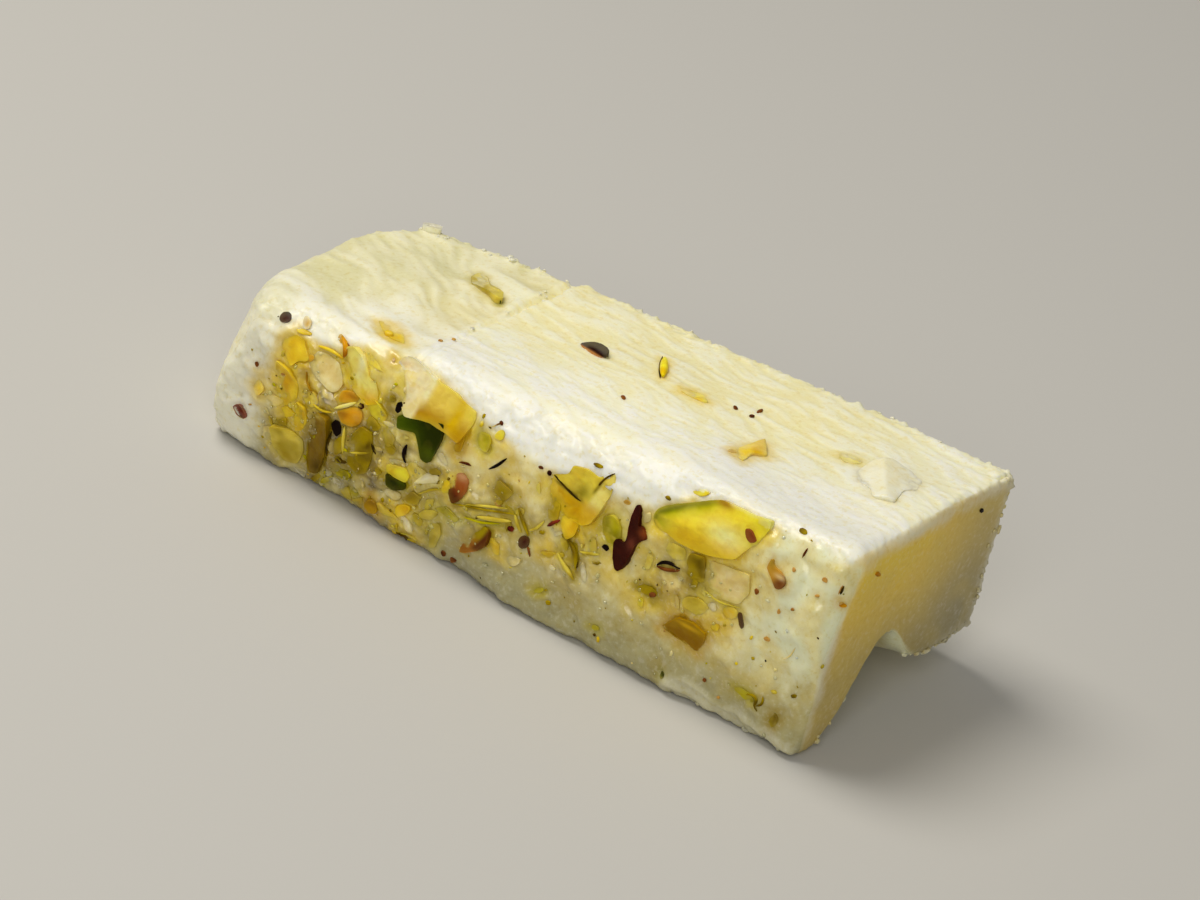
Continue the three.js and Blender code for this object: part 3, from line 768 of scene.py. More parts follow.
def kernel(sort, patch=0.6):
    """Paint for one sort of nut: its light tone, clouded with its deep tone."""
    if sort in SPECIAL:
        return SPECIAL[sort]
    light_tone, deep_tone = SORTS[sort]

    def tone_at(point, x, z):
        return mixed(light_tone, deep_tone, smoothstep(noise.noise(point * patch), -0.25, 0.45))

    return tone_at


SPECIAL = {"wedge": wedge_tone, "redchip": red_chip_tone, "crescent": crescent_tone,
           "chestnut": chestnut_tone}
print("sorts with a paint of their own:", list(SPECIAL))

# %% [markdown]
# Juice and steeped skins stain the fudge around each piece. The mark is strong under the piece and
# fades within a millimetre or so.

# %% Juice marks
# stain, how far it reaches, strength
JUICE = {
    "lemon": ("eece14", 1.5, 0.65), "pale": ("ecd448", 1.4, 0.5), "gold": ("e6c418", 1.6, 0.65),
    "amber": ("cca20a", 1.5, 0.75), "olive": ("a88e04", 1.2, 0.7), "moss": ("c4b408", 1.2, 0.6),
    "green": ("a49c08", 0.8, 0.5), "orange": ("dcb418", 1.2, 0.6), "straw": ("ccb834", 1.1, 0.5),
    "chestnut": ("e8cc68", 0.8, 0.4), "wedge": ("b89c14", 0.9, 0.6), "redchip": ("dcc464", 0.7, 0.4),
    "beige": ("e0cc70", 0.8, 0.4), "milk": ("ece2b0", 0.9, 0.5)}
MARKS = {FRONT: [], TOP: [], END: []}


def mark(sort, glass, outline):
    if sort not in JUICE:
        return
    middle_x = sum(x for x, z in outline) / len(outline)
    middle_z = sum(z for x, z in outline) / len(outline)
    code, reach, strength = JUICE[sort]
    radius = max(math.dist((middle_x, middle_z), corner) for corner in outline)
    MARKS[glass].append((outline, middle_x, middle_z, radius + reach, hue(code), reach, strength))


for sort, outline in (("lemon", SLIVER), ("pale", PALE_CHUNK), ("lemon", YELLOW_CHUNK),
                      ("gold", FOLDED), ("green", GREEN_CHIP), ("amber", AMBER_CHIP),
                      ("olive", OLIVE_CHUNK), ("maroon", SKIN_FLAKE)):
    mark(sort, FRONT, outline)
for table in (FILLER_BITS, YELLOW_BITS, STEEPED_BITS, GREEN_BITS, SKIN_FLECKS, PALE_FLAKES):
    for sort, _, glass, outline in table:
        mark(sort, glass, outline)
for sort, _, glass, points in STRANDS:
    mark(sort, glass, points + points[-2:0:-1])


def with_juice(tone, glass, x, z):
    """The tone with all juice marks, and how far the place is covered by a piece, 0 to 1."""
    wander = noise.noise_vector(Vector((x * 1.1, z * 1.1, 15)))
    wandered_x = x + 0.35 * wander.x
    wandered_z = z + 0.35 * wander.y
    covered = 0.0
    for outline, middle_x, middle_z, radius, colour, reach, strength in MARKS[glass]:
        if abs(x - middle_x) > radius or abs(z - middle_z) > radius:
            continue
        gap = outline_gap(outline, wandered_x, wandered_z)
        if gap < reach:
            tone = mixed(tone, colour, strength * (1 - smoothstep(gap, -0.1, reach)))
            covered = max(covered, 1 - smoothstep(gap, -0.1, 0.5))
    return tone, covered


print("juice marks:", [len(marks) for marks in MARKS.values()])

# %% Colour of each side


def flecks(x, y):
    """The wavy pale and creamy flecks that the knife left along the cut side."""
    wander = noise.noise_vector(Vector((x * 0.12, y * 0.25, 3)))
    along = x + 2.0 * wander.x
    across = y + 0.24 * x + 1.8 * wander.y
    wide = cloud((0.20, 0.75), 1.0, along, across)
    narrow = cloud((0.42, 1.9), 4.0, along, across)
    return smoothstep(0.6 * wide + 0.4 * narrow, 0.36, 0.62)


def folds(x, y):
    """The feathery folds of the torn part, which run down towards the right."""
    wander = noise.noise_vector(Vector((x * 0.14, y * 0.14, 11)))
    along = 0.82 * x - 0.57 * y + 2.2 * wander.x
    across = 0.57 * x + 0.82 * y + 2.2 * wander.y
    wide = cloud((0.10, 0.30), 2.0, along, across)
    narrow = cloud((0.26, 0.9), 6.0, along, across)
    return smoothstep(0.6 * wide + 0.4 * narrow, 0.32, 0.66)


# The cut side: knife flecks and torn folds, with painted light and shade. It is white towards the front
# and creamier towards the back as painted shade, less so at the right end. On the torn part it is paler
# on the raised folds as painted highlight and darker in the hollows as painted shade.
def cut_side_tone_and_light(x, y, torn):
    streak = flecks(x, y)
    painted_back_shade = smoothstep(y + 1.5 * cloud(0.2, 3.0, x, y), -7, 2) * (1 - 0.7 * smoothstep(x, 20, 32))
    whole = mixed(FUDGE["white"], FUDGE["cream"], 0.05 + 0.45 * streak + 0.5 * painted_back_shade)
    whole = mixed(whole, FUDGE["butter"], (0.05 + 0.75 * painted_back_shade) * (0.15 + 0.3 * streak))
    fold = folds(x, y)
    split = mixed(hue("e4daa0"), FUDGE["cream"], 0.1 + 0.9 * fold)
    split = mixed(split, FUDGE["white"], fold * (0.75 - 0.45 * smoothstep(y, -13, -2)))
    split = mixed(split, FUDGE["sage"], 0.6 * smoothstep(-x + 0.3 * y, 18, 30) * (1 - 0.6 * fold))
    return mixed(whole, split, torn)


def mosaic(x, z):
    """Soft cells like bits of kernel pressed flat: tone, share inside a cell, and its tilt."""
    point = Vector((x * 0.42 + 0.1 * z, z * 0.5 - 0.12 * x, 0))
    point += 0.35 * noise.noise_vector(Vector((x * 0.5, z * 0.5, 0)))
    distances, cells = noise.voronoi(point)
    pick = 0.5 + 0.5 * noise.cell(cells[0] * 9.7)
    inside = smoothstep(distances[1] - distances[0], 0.02, 0.3)
    tilt = (point - cells[0]).dot(noise.noise_vector(cells[0] * 7.3))
    for limit, name in ((0.25, "milky"), (0.4, "straw"), (0.48, "lemon"), (0.64, "olive"),
                        (0.78, "amber"), (1.1, "cream")):
        if pick < limit:
            return FUDGE[name], inside, tilt


def studded_tone_and_shade(x, z):
    """The tone of the studded face, painted shade included, and how far a piece covers the place."""
    patches = smoothstep(cloud(0.30, 2.0, x, z), 0.36, 0.64)
    small = smoothstep(cloud(0.8, 6.0, x, z), 0.42, 0.7)
    low = 1 - smoothstep(z + 2 * cloud(0.3, 8.0, x, z), 1.5, 11.5)
    tone = mixed(FUDGE["milky"], FUDGE["straw"], 0.6 * patches + 0.3 * small)
    right_part = smoothstep(x + 3 * cloud(0.3, 5.0, x, z), 26.5, 33) * smoothstep(z, 2, 12)
    tone = mixed(tone, FUDGE["mint"], (0.95 - 0.45 * patches) * right_part)
    # Low on the face the fudge turns greyish olive: painted shade, darker towards the bottom.
    tone = mixed(tone, FUDGE["painted_low_shade"], 0.95 * low)
    left_part = 1 - smoothstep(x - 0.35 * max(z - 11, 0), -34.0, -30.0)
    tone = mixed(tone, FUDGE["clear"], left_part)
    uneven = 0.7 + 0.45 * cloud(0.8, 3.0, x, z)
    for kind in STAINS:
        tone = mixed(tone, FUDGE[kind], min(0.94, uneven * stain_at(kind, x, z)))
    crowd = crowd_at(x, z)
    if crowd > 0.05:
        cell_tone, inside, _ = mosaic(x, z)
        tone = mixed(tone, cell_tone, 0.5 * crowd * inside)
        # Between the cells the fudge darkens to umber: partly stain, partly painted shade between the
        # pressed bits.
        tone = mixed(tone, FUDGE["umber"], 0.65 * crowd * (1 - inside))
    tone, covered = with_juice(tone, FRONT, x, z)
    return mixed(tone, FUDGE["umber"], 0.6 * stain_at("umber", x, z)), covered


def end_tone_and_light(y, z, edge):
    """Right end: painted honey light at the near upper corner, greyer and darker painted shade down and
    away.
    """
    near = 1 - smoothstep(y, -7, 13)
    high = smoothstep(z, 7, 22)
    tone = mixed(FUDGE["end_painted_shade"], FUDGE["end_painted_half_shade"], 0.75 * near + 0.4 * high)
    tone = mixed(tone, FUDGE["end_painted_light"], (0.25 + 0.75 * near) * high)
    tone = mixed(tone, FUDGE["straw"], 0.25 * smoothstep(cloud(0.25, 4.0, y, z), 0.45, 0.7))
    tone = mixed(tone, FUDGE["rim"], 0.75 * edge * smoothstep(y, 4, 13))
    ragged = cloud(0.4, 7.0, y, z) - 0.5
    band = max(smoothstep(z + 2 * ragged, 21.6, 23.4) * (1 - 0.5 * smoothstep(y, -8, 8)),
               smoothstep(-y + 1.5 * ragged, 13.4, 15.8))
    return mixed(tone, FUDGE["clear"], 0.85 * band)


def plain_side_shade(x, y, z):
    """From cream to butter on the back and the left end: soft patches with finer ones in them."""
    broad = smoothstep(cloud((0.12, 0.12, 0.3), 1.0, x, y, z), 0.3, 0.7)
    fine = smoothstep(cloud(0.7, 1.0, x, y, z), 0.4, 0.65)
    finest = smoothstep(cloud(1.9, 1.0, x + 40, y, z), 0.45, 0.7)
    return 0.2 + 0.25 * broad + 0.2 * fine + 0.15 * finest


print("colour in the middle of the studded face:", [round(c, 2) for c in studded_tone_and_shade(0, 10)[0][:3]])

# %% [markdown]
# ## The fine surface
# Each side was made in another way, so each gets its own relief. A knife pulled a long grain over
# the cut side. Left of the crack the fudge was torn, which leaves feathery folds. The studded face
# is lumpy with what is buried in it, and along the edges there are crumbs. All of it is added along
# the normal, as a sculptor's brush would do it.

# %% Fine relief


def studded_relief(x, z, crowd):
    point = Vector((x, z, 0))
    lumps = noise.noise(point * 0.42 + Vector((0, 0, 3)))
    small = noise.noise(point * 1.0 + Vector((5, 0, 1)))
    tiny = noise.noise(point * 2.4 + Vector((0, 8, 1)))
    _, inside, tilt = mosaic(x, z)
    return 0.42 * lumps + 0.16 * small + 0.04 * tiny + (0.6 * tilt + 0.18 * inside) * crowd


def pits(x, z):
    """Small dents and pin holes."""
    distances, cells = noise.voronoi(Vector((x * 0.55, z * 0.55, 3.0)))
    size = 0.5 + 0.5 * noise.noise(cells[0] * 5.1)
    return -0.28 * (1 - smoothstep(distances[0], 0.05, 0.3)) * smoothstep(size, 0.62, 0.75)


def crack_depth(x, y):
    width = lerp(0.35, 0.9, smoothstep(y, -6, 10))
    depth = lerp(0.3, 1.25, smoothstep(y, -4, 11))
    away = abs(x - crack_line(y)) / width
    lip = 0.12 * bump(x, crack_line(y) + 1.5, 0.8)
    return lip - depth * max(0.0, 1 - away) ** 1.2


def lip_share(x, z):
    """Where the thin pale layer lies that sticks out along the lower right edge."""
    here = smoothstep(x, 20.4, 21.4) * (1 - smoothstep(x, 36.0, 37.4))
    ragged = 2.5 + 0.9 * noise.noise(Vector((x * 0.35, 3, 1))) + 0.5 * bump(x, 24, 2)
    return here * (1 - smoothstep(z, ragged - 0.8, ragged + 0.2))


def crumbly(point):
    stretch = smoothstep(noise.noise(point * 0.16 + Vector((4, 0, 0))), -0.2, 0.35)
    rough = noise.fractal(point * 1.05, 0.8, 2.1, 4)
    return 0.6 * rough * (0.35 + 0.65 * stretch)


tone_layer = body.verts.layers.float_color.new("tone")
layers = {name: body.verts.layers.float.new(name) for name in ("wet", "grain")}
body.normal_update()
moves = []
for vert in body.verts:
    x, y, z = vert.co
    facing = vert.normal
    facing_up = smoothstep(facing.z, 0.45, 0.85)
    facing_front = smoothstep(-facing.y, 0.2, 0.75)
    facing_end = smoothstep(facing.x, 0.35, 0.8)
    facing_left = smoothstep(-facing.x, 0.4, 0.85)
    facing_back = smoothstep(facing.y, 0.4, 0.85)
    edge = vert[near_edge]
    seen_x, seen_z = seen_on_front(vert.co)
    ragged = 0.9 * noise.noise(Vector((seen_x * 0.5, seen_z * 0.5, 2)))
    below = garnish_top(seen_x) - seen_z + ragged
    garnish = smoothstep(below, -0.7, 1.6) * smoothstep(-facing.y, 0.05, 0.4)
    garnish *= 1 - facing_left
    torn = beyond_crack(x, y)

    tone = mixed(FUDGE["cream"], FUDGE["butter"], plain_side_shade(x, y, z))
    tone = mixed(tone, FUDGE["clear"], 0.6 * facing_left)
    tone = mixed(tone, cut_side_tone_and_light(x, y, torn), smoothstep(facing.z, 0.1, 0.6))
    # Along the worn ridge above the nuts a bluish white is painted in: a painted highlight on the rounded
    # edge.
    ridge = bump(seen_z - garnish_top(seen_x), 2.4, 2.8) * (1 - facing_back) * smoothstep(z, 6, 12)
    tone = mixed(tone, FUDGE["ridge"], 0.85 * ridge * (1 - 0.6 * torn))
    if facing_up > 0.2:
        tone, _ = with_juice(tone, TOP, *seen_on_top(vert.co))
    tone = mixed(tone, end_tone_and_light(y, z, edge), facing_end)
    covered = 0.0
    if garnish > 0.001:
        studded, covered = studded_tone_and_shade(seen_x, seen_z)
        tone = mixed(tone, studded, garnish)
    lip = facing_front * lip_share(x, z)
    vert[tone_layer] = mixed(tone, FUDGE["clear"], 0.35 * lip)
    vert[layers["wet"]] = garnish
    vert[layers["grain"]] = facing_up * (1 - 0.8 * torn)

    crowd = garnish * crowd_at(seen_x, seen_z) if garnish > 0.001 else 0.0
    whole = facing_up * (1 - torn) * 0.09 * (0.5 - flecks(x, y))
    split = facing_up * torn * 0.24 * (folds(x, y) - 0.5)
    studded = studded_relief(seen_x, seen_z, crowd) + pits(seen_x, seen_z)
    studded = studded * (1 - 0.75 * covered) - 0.16 * covered
    studded = facing_front * (studded + lip * (0.26 + 0.12 * math.sin(5.0 * z + 0.6 * x)))
    plain = 0.18 * noise.noise(vert.co * 0.3) + 0.09 * noise.noise(vert.co * 1.1) + pits(x + y, z)
    plain *= max(facing_back, facing_left)
    cut_end = facing_end * (0.10 * noise.noise(vert.co * 0.3) + 0.5 * pits(y, z))
    worn = smoothstep(y, 2, 10) - 0.3 * facing_left
    crumbs = edge * crumbly(vert.co) * min(1.2, 0.3 + 0.7 * worn)
    crack = crack_depth(x, y) * facing_up
    moves.append(facing * (whole + split + studded + plain + cut_end + crumbs + crack))

for vert, move in zip(body.verts, moves):
    vert.co += move
    vert.co.z = max(vert.co.z, 0.0)
print("deepest move, mm:", round(max(move.length for move in moves), 2))

# %% [markdown]
# The glass sheets need the finished surface, so it goes into a search tree now.

# %% Surface search
surface = BVHTree.FromBMesh(body)


def touch(place):
    """The point of the fudge that shows at a place on one of the glass sheets, and its normal."""
    direction = (place - eye_in_bar).normalized()
    point, facing, _, _ = surface.ray_cast(eye_in_bar, direction)
    if point is None:
        point, facing, _, _ = surface.find_nearest(place)
    return point, facing


print("touch in the middle of the face:", touch(on_front_glass(0, 10))[0])

# %% [markdown]
# ## Materials
# A finish is built from nodes. Small helpers keep that readable: one makes a node, one joins a
# value or a socket to an input. Patterns are read in millimetres from Object coordinates.

# %% Node helpers


class Finish:
    """A material that is put together node by node."""

    def __init__(self, name):
        self.material = bpy.data.materials.new(name)
        self.material.use_nodes = True
        self.tree = self.material.node_tree
        self.shader = self.tree.nodes["Principled BSDF"]
        self.coordinates = self.node("ShaderNodeTexCoord").outputs["Object"]

    def node(self, kind, **settings):
        made = self.tree.nodes.new(kind)
        for name, value in settings.items():
            setattr(made, name, value)
        return made

    def join(self, value, socket):
        if isinstance(value, bpy.types.NodeSocket):
            self.tree.links.new(value, socket)
        else:
            socket.default_value = value

    def stretched(self, scale, turn_z=0.0):
        """Object coordinates in millimetres, stretched; scale is given per millimetre."""
        made = self.node("ShaderNodeMapping")
        self.join(self.coordinates, made.inputs["Vector"])
        made.inputs["Scale"].default_value = [1000 * value for value in scale]
        made.inputs["Rotation"].default_value = (0, 0, turn_z)
        return made.outputs["Vector"]

    def noise(self, vector, detail=3.0, roughness=0.55, distortion=0.0):
        made = self.node("ShaderNodeTexNoise")
        self.join(vector, made.inputs["Vector"])
        made.inputs["Scale"].default_value = 1.0
        made.inputs["Detail"].default_value = detail
        made.inputs["Roughness"].default_value = roughness
        made.inputs["Distortion"].default_value = distortion
        return made.outputs["Fac"]

    def ramp(self, value, low, high, out_low=0.0, out_high=1.0):
        made = self.node("ShaderNodeMapRange", interpolation_type="SMOOTHSTEP")
        self.join(value, made.inputs["Value"])
        for name, number in (("From Min", low), ("From Max", high), ("To Min", out_low),
                             ("To Max", out_high)):
            made.inputs[name].default_value = number
        return made.outputs["Result"]

    def math(self, operation, first, second):
        made = self.node("ShaderNodeMath", operation=operation)
        self.join(first, made.inputs[0])
        self.join(second, made.inputs[1])
        return made.outputs["Value"]

    def mix(self, share, first, second, blend="MIX"):
        made = self.node("ShaderNodeMix", data_type="RGBA", blend_type=blend)
        self.join(share, made.inputs[0])
        self.join(first, made.inputs[6])
        self.join(second, made.inputs[7])
        return made.outputs[2]

    def painted(self, name, output="Fac"):
        """What is painted on the points of the mesh under this name."""
        return self.node("ShaderNodeAttribute", attribute_name=name).outputs[output]

    def bump(self, height, distance_mm, strength=1.0, onto=None):
        made = self.node("ShaderNodeBump")
        self.join(height, made.inputs["Height"])
        made.inputs["Distance"].default_value = distance_mm / 1000
        made.inputs["Strength"].default_value = strength
        if onto:
            self.join(onto, made.inputs["Normal"])
        return made.outputs["Normal"]

    def set(self, **values):
        for name, value in values.items():
            self.join(value, self.shader.inputs[name.replace("_", " ").title().replace("Ior", "IOR")])


# %% [markdown]
# ### The fudge
# Milk fudge lets light in a little way, so its shadows are warm and its thin edges glow. The paint
# on the points gives the broad colour. The nodes add what is finer than a point: pale grains of
# milk, a grain along the cut side, and pores.

# %% Fudge finish
def fudge_finish():
    finish = Finish("milk_fudge")
    grain = finish.noise(finish.stretched((0.42, 0.95, 0.9), turn_z=math.radians(-12)), detail=2,
                         roughness=0.5, distortion=1.2)
    grains = finish.noise(finish.stretched((1.7, 1.7, 1.7)), detail=4, roughness=0.6)
    pores = finish.noise(finish.stretched((3.4, 3.4, 3.4)), detail=3)

    paint_layer = finish.painted("tone", "Color")
    wet = finish.painted("wet")
    pale = finish.mix(0.55, paint_layer, hue("fffdf0"))
    deeper = finish.mix(1.0, paint_layer, hue("efe2a6"), blend="MULTIPLY")
    colour = finish.mix(finish.ramp(grains, 0.52, 0.68, 0.0, 0.25), paint_layer, pale)
    colour = finish.mix(finish.ramp(grains, 0.48, 0.32, 0.0, 0.4), colour, deeper)
    streak = finish.math("MULTIPLY", finish.ramp(grain, 0.45, 0.62, 0.0, 0.1),
                         finish.painted("grain"))
    colour = finish.mix(streak, colour, deeper)
    finish.set(base_color=colour, roughness=finish.ramp(wet, 0.0, 1.0, 0.55, 0.24))
    finish.set(subsurface_weight=0.6, subsurface_radius=(1.0, 0.93, 0.65), subsurface_scale=0.0012)
    finish.set(coat_weight=0.16, coat_roughness=0.12)
    height = finish.math("MULTIPLY", grain, finish.painted("grain"))
    streaks = finish.bump(height, 0.06, strength=0.6)
    finish.set(normal=finish.bump(pores, 0.05, strength=0.5, onto=streaks))
    return finish.material


milk = fudge_finish()
print("nodes in the fudge:", len(milk.node_tree.nodes))


# %% [markdown]
# ### The pieces of nut
# Every chip is painted by its sort: lemon flesh, pale flesh, gold, amber, olive, green or skin. One
# material reads the paint, so a handful of chips is one piece and yet no two are
# alike. The finishes differ in how wet they are and how far light gets into them.

# %% Nut finish
def nut_finish(name, roughness, coat, glow, gloss=0.15):
    """glow is how far light spreads inside, in millimetres; gloss is the strength of its shine."""
    finish = Finish(name)
    veins = finish.noise(finish.stretched((0.8, 1.1, 1.1)), detail=3, distortion=0.6)
    fine = finish.noise(finish.stretched((3.2, 3.2, 3.2)), detail=3)
    paint_layer = finish.painted("tone", "Color")
    deeper = finish.mix(1.0, paint_layer, hue("e8d7a8"), blend="MULTIPLY")
    colour = finish.mix(finish.ramp(veins, 0.45, 0.62, 0.0, 0.3), paint_layer, deeper)
    finish.set(base_color=colour, roughness=roughness, specular_ior_level=gloss)
    finish.set(coat_weight=coat, coat_roughness=0.08)
    finish.set(subsurface_weight=0.45, subsurface_radius=(1.0, 0.9, 0.2),
               subsurface_scale=glow / 1000)
    skin = finish.bump(veins, 0.10, strength=0.5)
    finish.set(normal=finish.bump(fine, 0.04, strength=0.5, onto=skin))
    return finish.material


nut_yellow = nut_finish("pistachio_flesh", roughness=0.34, coat=0.1, glow=1.0, gloss=0.1)
nut_green = nut_finish("pistachio_rim", roughness=0.42, coat=0.0, glow=0.4, gloss=0.04)
nut_amber = nut_finish("pistachio_steeped", roughness=0.30, coat=0.08, glow=0.6, gloss=0.03)
nut_skin = nut_finish("pistachio_skin", roughness=0.5, coat=0.0, glow=0.2, gloss=0.05)


# %% [markdown]
# ## How a chip is made
# A chopped nut is a flat scrap with a broken outline. The outline is laid on the glass sheet, each
# corner is carried along the line of sight to the fudge, and the flat scrap that fits these corners
# best is drawn out to its thickness. Cubes or balls squashed flat would be quicker, but they would
# all have the same silhouette.

# %% Chip maker
def seat_of(corners):
    """The middle of a ring of points and the direction that its plane faces."""
    middle = sum(corners, Vector()) / len(corners)
    facing = Vector()
    for here, there in zip(corners, corners[1:] + corners[:1]):
        facing += (here - middle).cross(there - middle)
    facing.normalize()
    if facing.dot(eye_in_bar - middle) < 0:
        facing.negate()
    return middle, facing


def scrap(outline, glass=on_front_glass, proud=0.35, sink=0.9, edge=0.14, segments=2):
    """One chip as its own bmesh: a face on the corners, drawn out and softened at the edges."""
    corners = [touch(glass(*corner))[0] for corner in outline]
    middle, facing = seat_of(corners)
    chip = bmesh.new()
    verts = []
    for corner in corners:
        flat = corner - facing * (corner - middle).dot(facing)
        verts.append(chip.verts.new(flat - facing * sink))
    base = chip.faces.new(verts)
    base.normal_update()
    if base.normal.dot(facing) > 0:
        base.normal_flip()
    drawn = bmesh.ops.extrude_face_region(chip, geom=[base], use_keep_orig=True)
    top_verts = [part for part in drawn["geom"] if isinstance(part, bmesh.types.BMVert)]
    bmesh.ops.translate(chip, verts=top_verts, vec=facing * (sink + proud))
    bmesh.ops.recalc_face_normals(chip, faces=chip.faces)
    sharp = [e for e in chip.edges if len(e.link_faces) == 2 and e.calc_face_angle(0) > 0.35]
    bmesh.ops.bevel(chip, geom=sharp, offset=edge, offset_type="OFFSET", segments=segments,
                    profile=0.5, affect="EDGES", clamp_overlap=True, material=-1)
    return chip, middle, facing


print("corners of the sliver, laid on the fudge:", len([touch(FRONT(*c)) for c in SLIVER]))

# %% [markdown]
# ## How a chip is painted
# The tone of a chip comes from its sort. Near the fudge a thin milky film creeps up its side, and
# the flesh is clear enough to let the fudge shine through along its rim. There the chip takes the
# colour that the fudge has at that very place.

# %% Painting and joining chips


def fudge_tone_at(point, facing):
    if facing.z > 0.7:
        tone = cut_side_tone_and_light(point.x, point.y, beyond_crack(point.x, point.y))
        return with_juice(tone, TOP, *seen_on_top(point))[0]
    if facing.x > 0.7:
        return end_tone_and_light(point.y, point.z, 0)
    return studded_tone_and_shade(*seen_on_front(point))[0]


def paint(chip, tone_at, film_depth=0.15, glass=on_front_glass, outline=None, fade=0.0, reach=0.55):
    """fade is how strongly the fudge shines through at the rim, and reach how far inwards."""
    layer = chip.verts.layers.float_color.new("tone")
    for vert in chip.verts:
        nearest, facing, _, _ = surface.find_nearest(vert.co)
        above = (vert.co - nearest).dot(facing) + 0.08 * noise.noise(vert.co * 1.7)
        seen = SEEN[glass](vert.co)
        tone = tone_at(vert.co, *seen)
        film = 0.85 * (1 - smoothstep(above, 0.0, film_depth))
        if fade:
            rim = 1 - smoothstep(-outline_gap(outline, *seen), -0.1, reach)
            smear = smoothstep(noise.noise(vert.co * 0.6 + Vector((0, 0, 9))), 0.05, 0.45)
            film = max(film, fade * max(rim, 0.7 * smear))
        if film > 0.02:
            tone = mixed(tone, fudge_tone_at(nearest, facing), film)
        vert[layer] = tone


def keep_together(name, chips, material, shade_angle=50):
    """Joins chips to one piece, in its place and in metres."""
    mesh = bpy.data.meshes.new(name)
    joined = bmesh.new()
    for chip in chips:
        part = bpy.data.meshes.new("part")
        chip.to_mesh(part)
        chip.free()
        joined.from_mesh(part)
        bpy.data.meshes.remove(part)
    joined.transform(to_place)
    for face in joined.faces:
        face.smooth = True
    for edge in joined.edges:
        edge.smooth = edge.calc_face_angle(0) < math.radians(shade_angle)
    joined.to_mesh(mesh)
    joined.free()
    mesh.materials.append(material)
    piece = bpy.data.objects.new(name, mesh)
    bpy.context.scene.collection.objects.link(piece)
    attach(piece, "root")
    print(name, "faces:", len(mesh.polygons))
    return piece


# %% The body becomes a piece
for face in body.faces:
    face.smooth = True
body.transform(to_place)
bar_mesh = bpy.data.meshes.new("barfi_body")
body.to_mesh(bar_mesh)
body.free()
bar_mesh.materials.append(milk)
bar_piece = bpy.data.objects.new("barfi_body", bar_mesh)
bpy.context.scene.collection.objects.link(bar_piece)
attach(bar_piece, "root")
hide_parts("barfi_bar")
print("body triangles:", sum(len(face.vertices) - 2 for face in bar_mesh.polygons))


# %% [markdown]
# ## The large pieces of nut
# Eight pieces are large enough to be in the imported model, and each is replaced here by a finer one.
# Their outlines are dense at first: a voxel remesh turns the drawn-out scrap into an even skin, the
# facets are cut by planes as a knife leaves them, and a little smoothing rounds the corners.

# %% Nut maker
VOXEL = 0.14


def evenly_skinned(chip, voxel):
    """The chip with small square faces all over, by a voxel remesh."""
    mesh = bpy.data.meshes.new("rough")
    chip.to_mesh(mesh)
    chip.free()
    rough = bpy.data.objects.new("rough", mesh)
    bpy.context.scene.collection.objects.link(rough)
    remesh = rough.modifiers.new("skin", "REMESH")
    remesh.mode = "VOXEL"
    remesh.voxel_size = voxel
    graph = bpy.context.evaluated_depsgraph_get()
    even = bpy.data.meshes.new_from_object(rough.evaluated_get(graph))
    bpy.data.objects.remove(rough)
    bpy.data.meshes.remove(mesh)
    skinned = bmesh.new()
    skinned.from_mesh(even)
    bpy.data.meshes.remove(even)
    return skinned


def nut(outline, proud=0.5, sink=1.6, planes=(), rough=0.06, glass=on_front_glass, rounds=3,
        voxel=VOXEL):
    """planes: each one a place x, z on the glass, its height there, and its slopes along and up."""
    chip, middle, facing = scrap(outline, glass=glass, proud=proud + 0.8, sink=sink, edge=0.2)
    chip = evenly_skinned(chip, voxel)
    for vert in chip.verts:
        above = (vert.co - middle).dot(facing)
        if above <= 0:
            continue
        x, z = SEEN[glass](vert.co)
        heights = [height + slope_x * (x - at_x) + slope_z * (z - at_z)
                   for at_x, at_z, height, slope_x, slope_z in planes] or [proud]
        limit = max(0.02, min(heights))
        vert.co -= facing * max(0.0, above - limit)
        nearest, outwards, _, _ = surface.find_nearest(vert.co)
        cover = 0.12 * smoothstep(-outline_gap(outline, x, z), 0.1, 0.5)
        vert.co += facing * max(0.0, cover - (vert.co - nearest).dot(outwards))
    for _ in range(rounds):
        bmesh.ops.smooth_vert(chip, verts=chip.verts, factor=0.5, use_axis_x=True, use_axis_y=True,
                              use_axis_z=True)
    chip.normal_update()
    for vert in chip.verts:
        uneven = noise.noise(vert.co * 0.9) + 0.5 * noise.noise(vert.co * 2.3)
        vert.co += vert.normal * rough * uneven
    return chip


def large_piece(name, node, outline, chip, tone_at, material, film_depth=0.14, fade=0.45,
                reach=0.55):
    paint(chip, tone_at, film_depth=film_depth, outline=outline, fade=fade, reach=reach)
    piece = keep_together(name, [chip], material, shade_angle=70)
    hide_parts(node)
    return piece


print("voxels of the large pieces, mm:", VOXEL)

# %% [markdown]
# ### The sliver
# The longest piece is a slice of kernel: lemon flesh, and along its upper left edge the green skin
# side of the nut, darkest at the very edge.

# %% Sliver


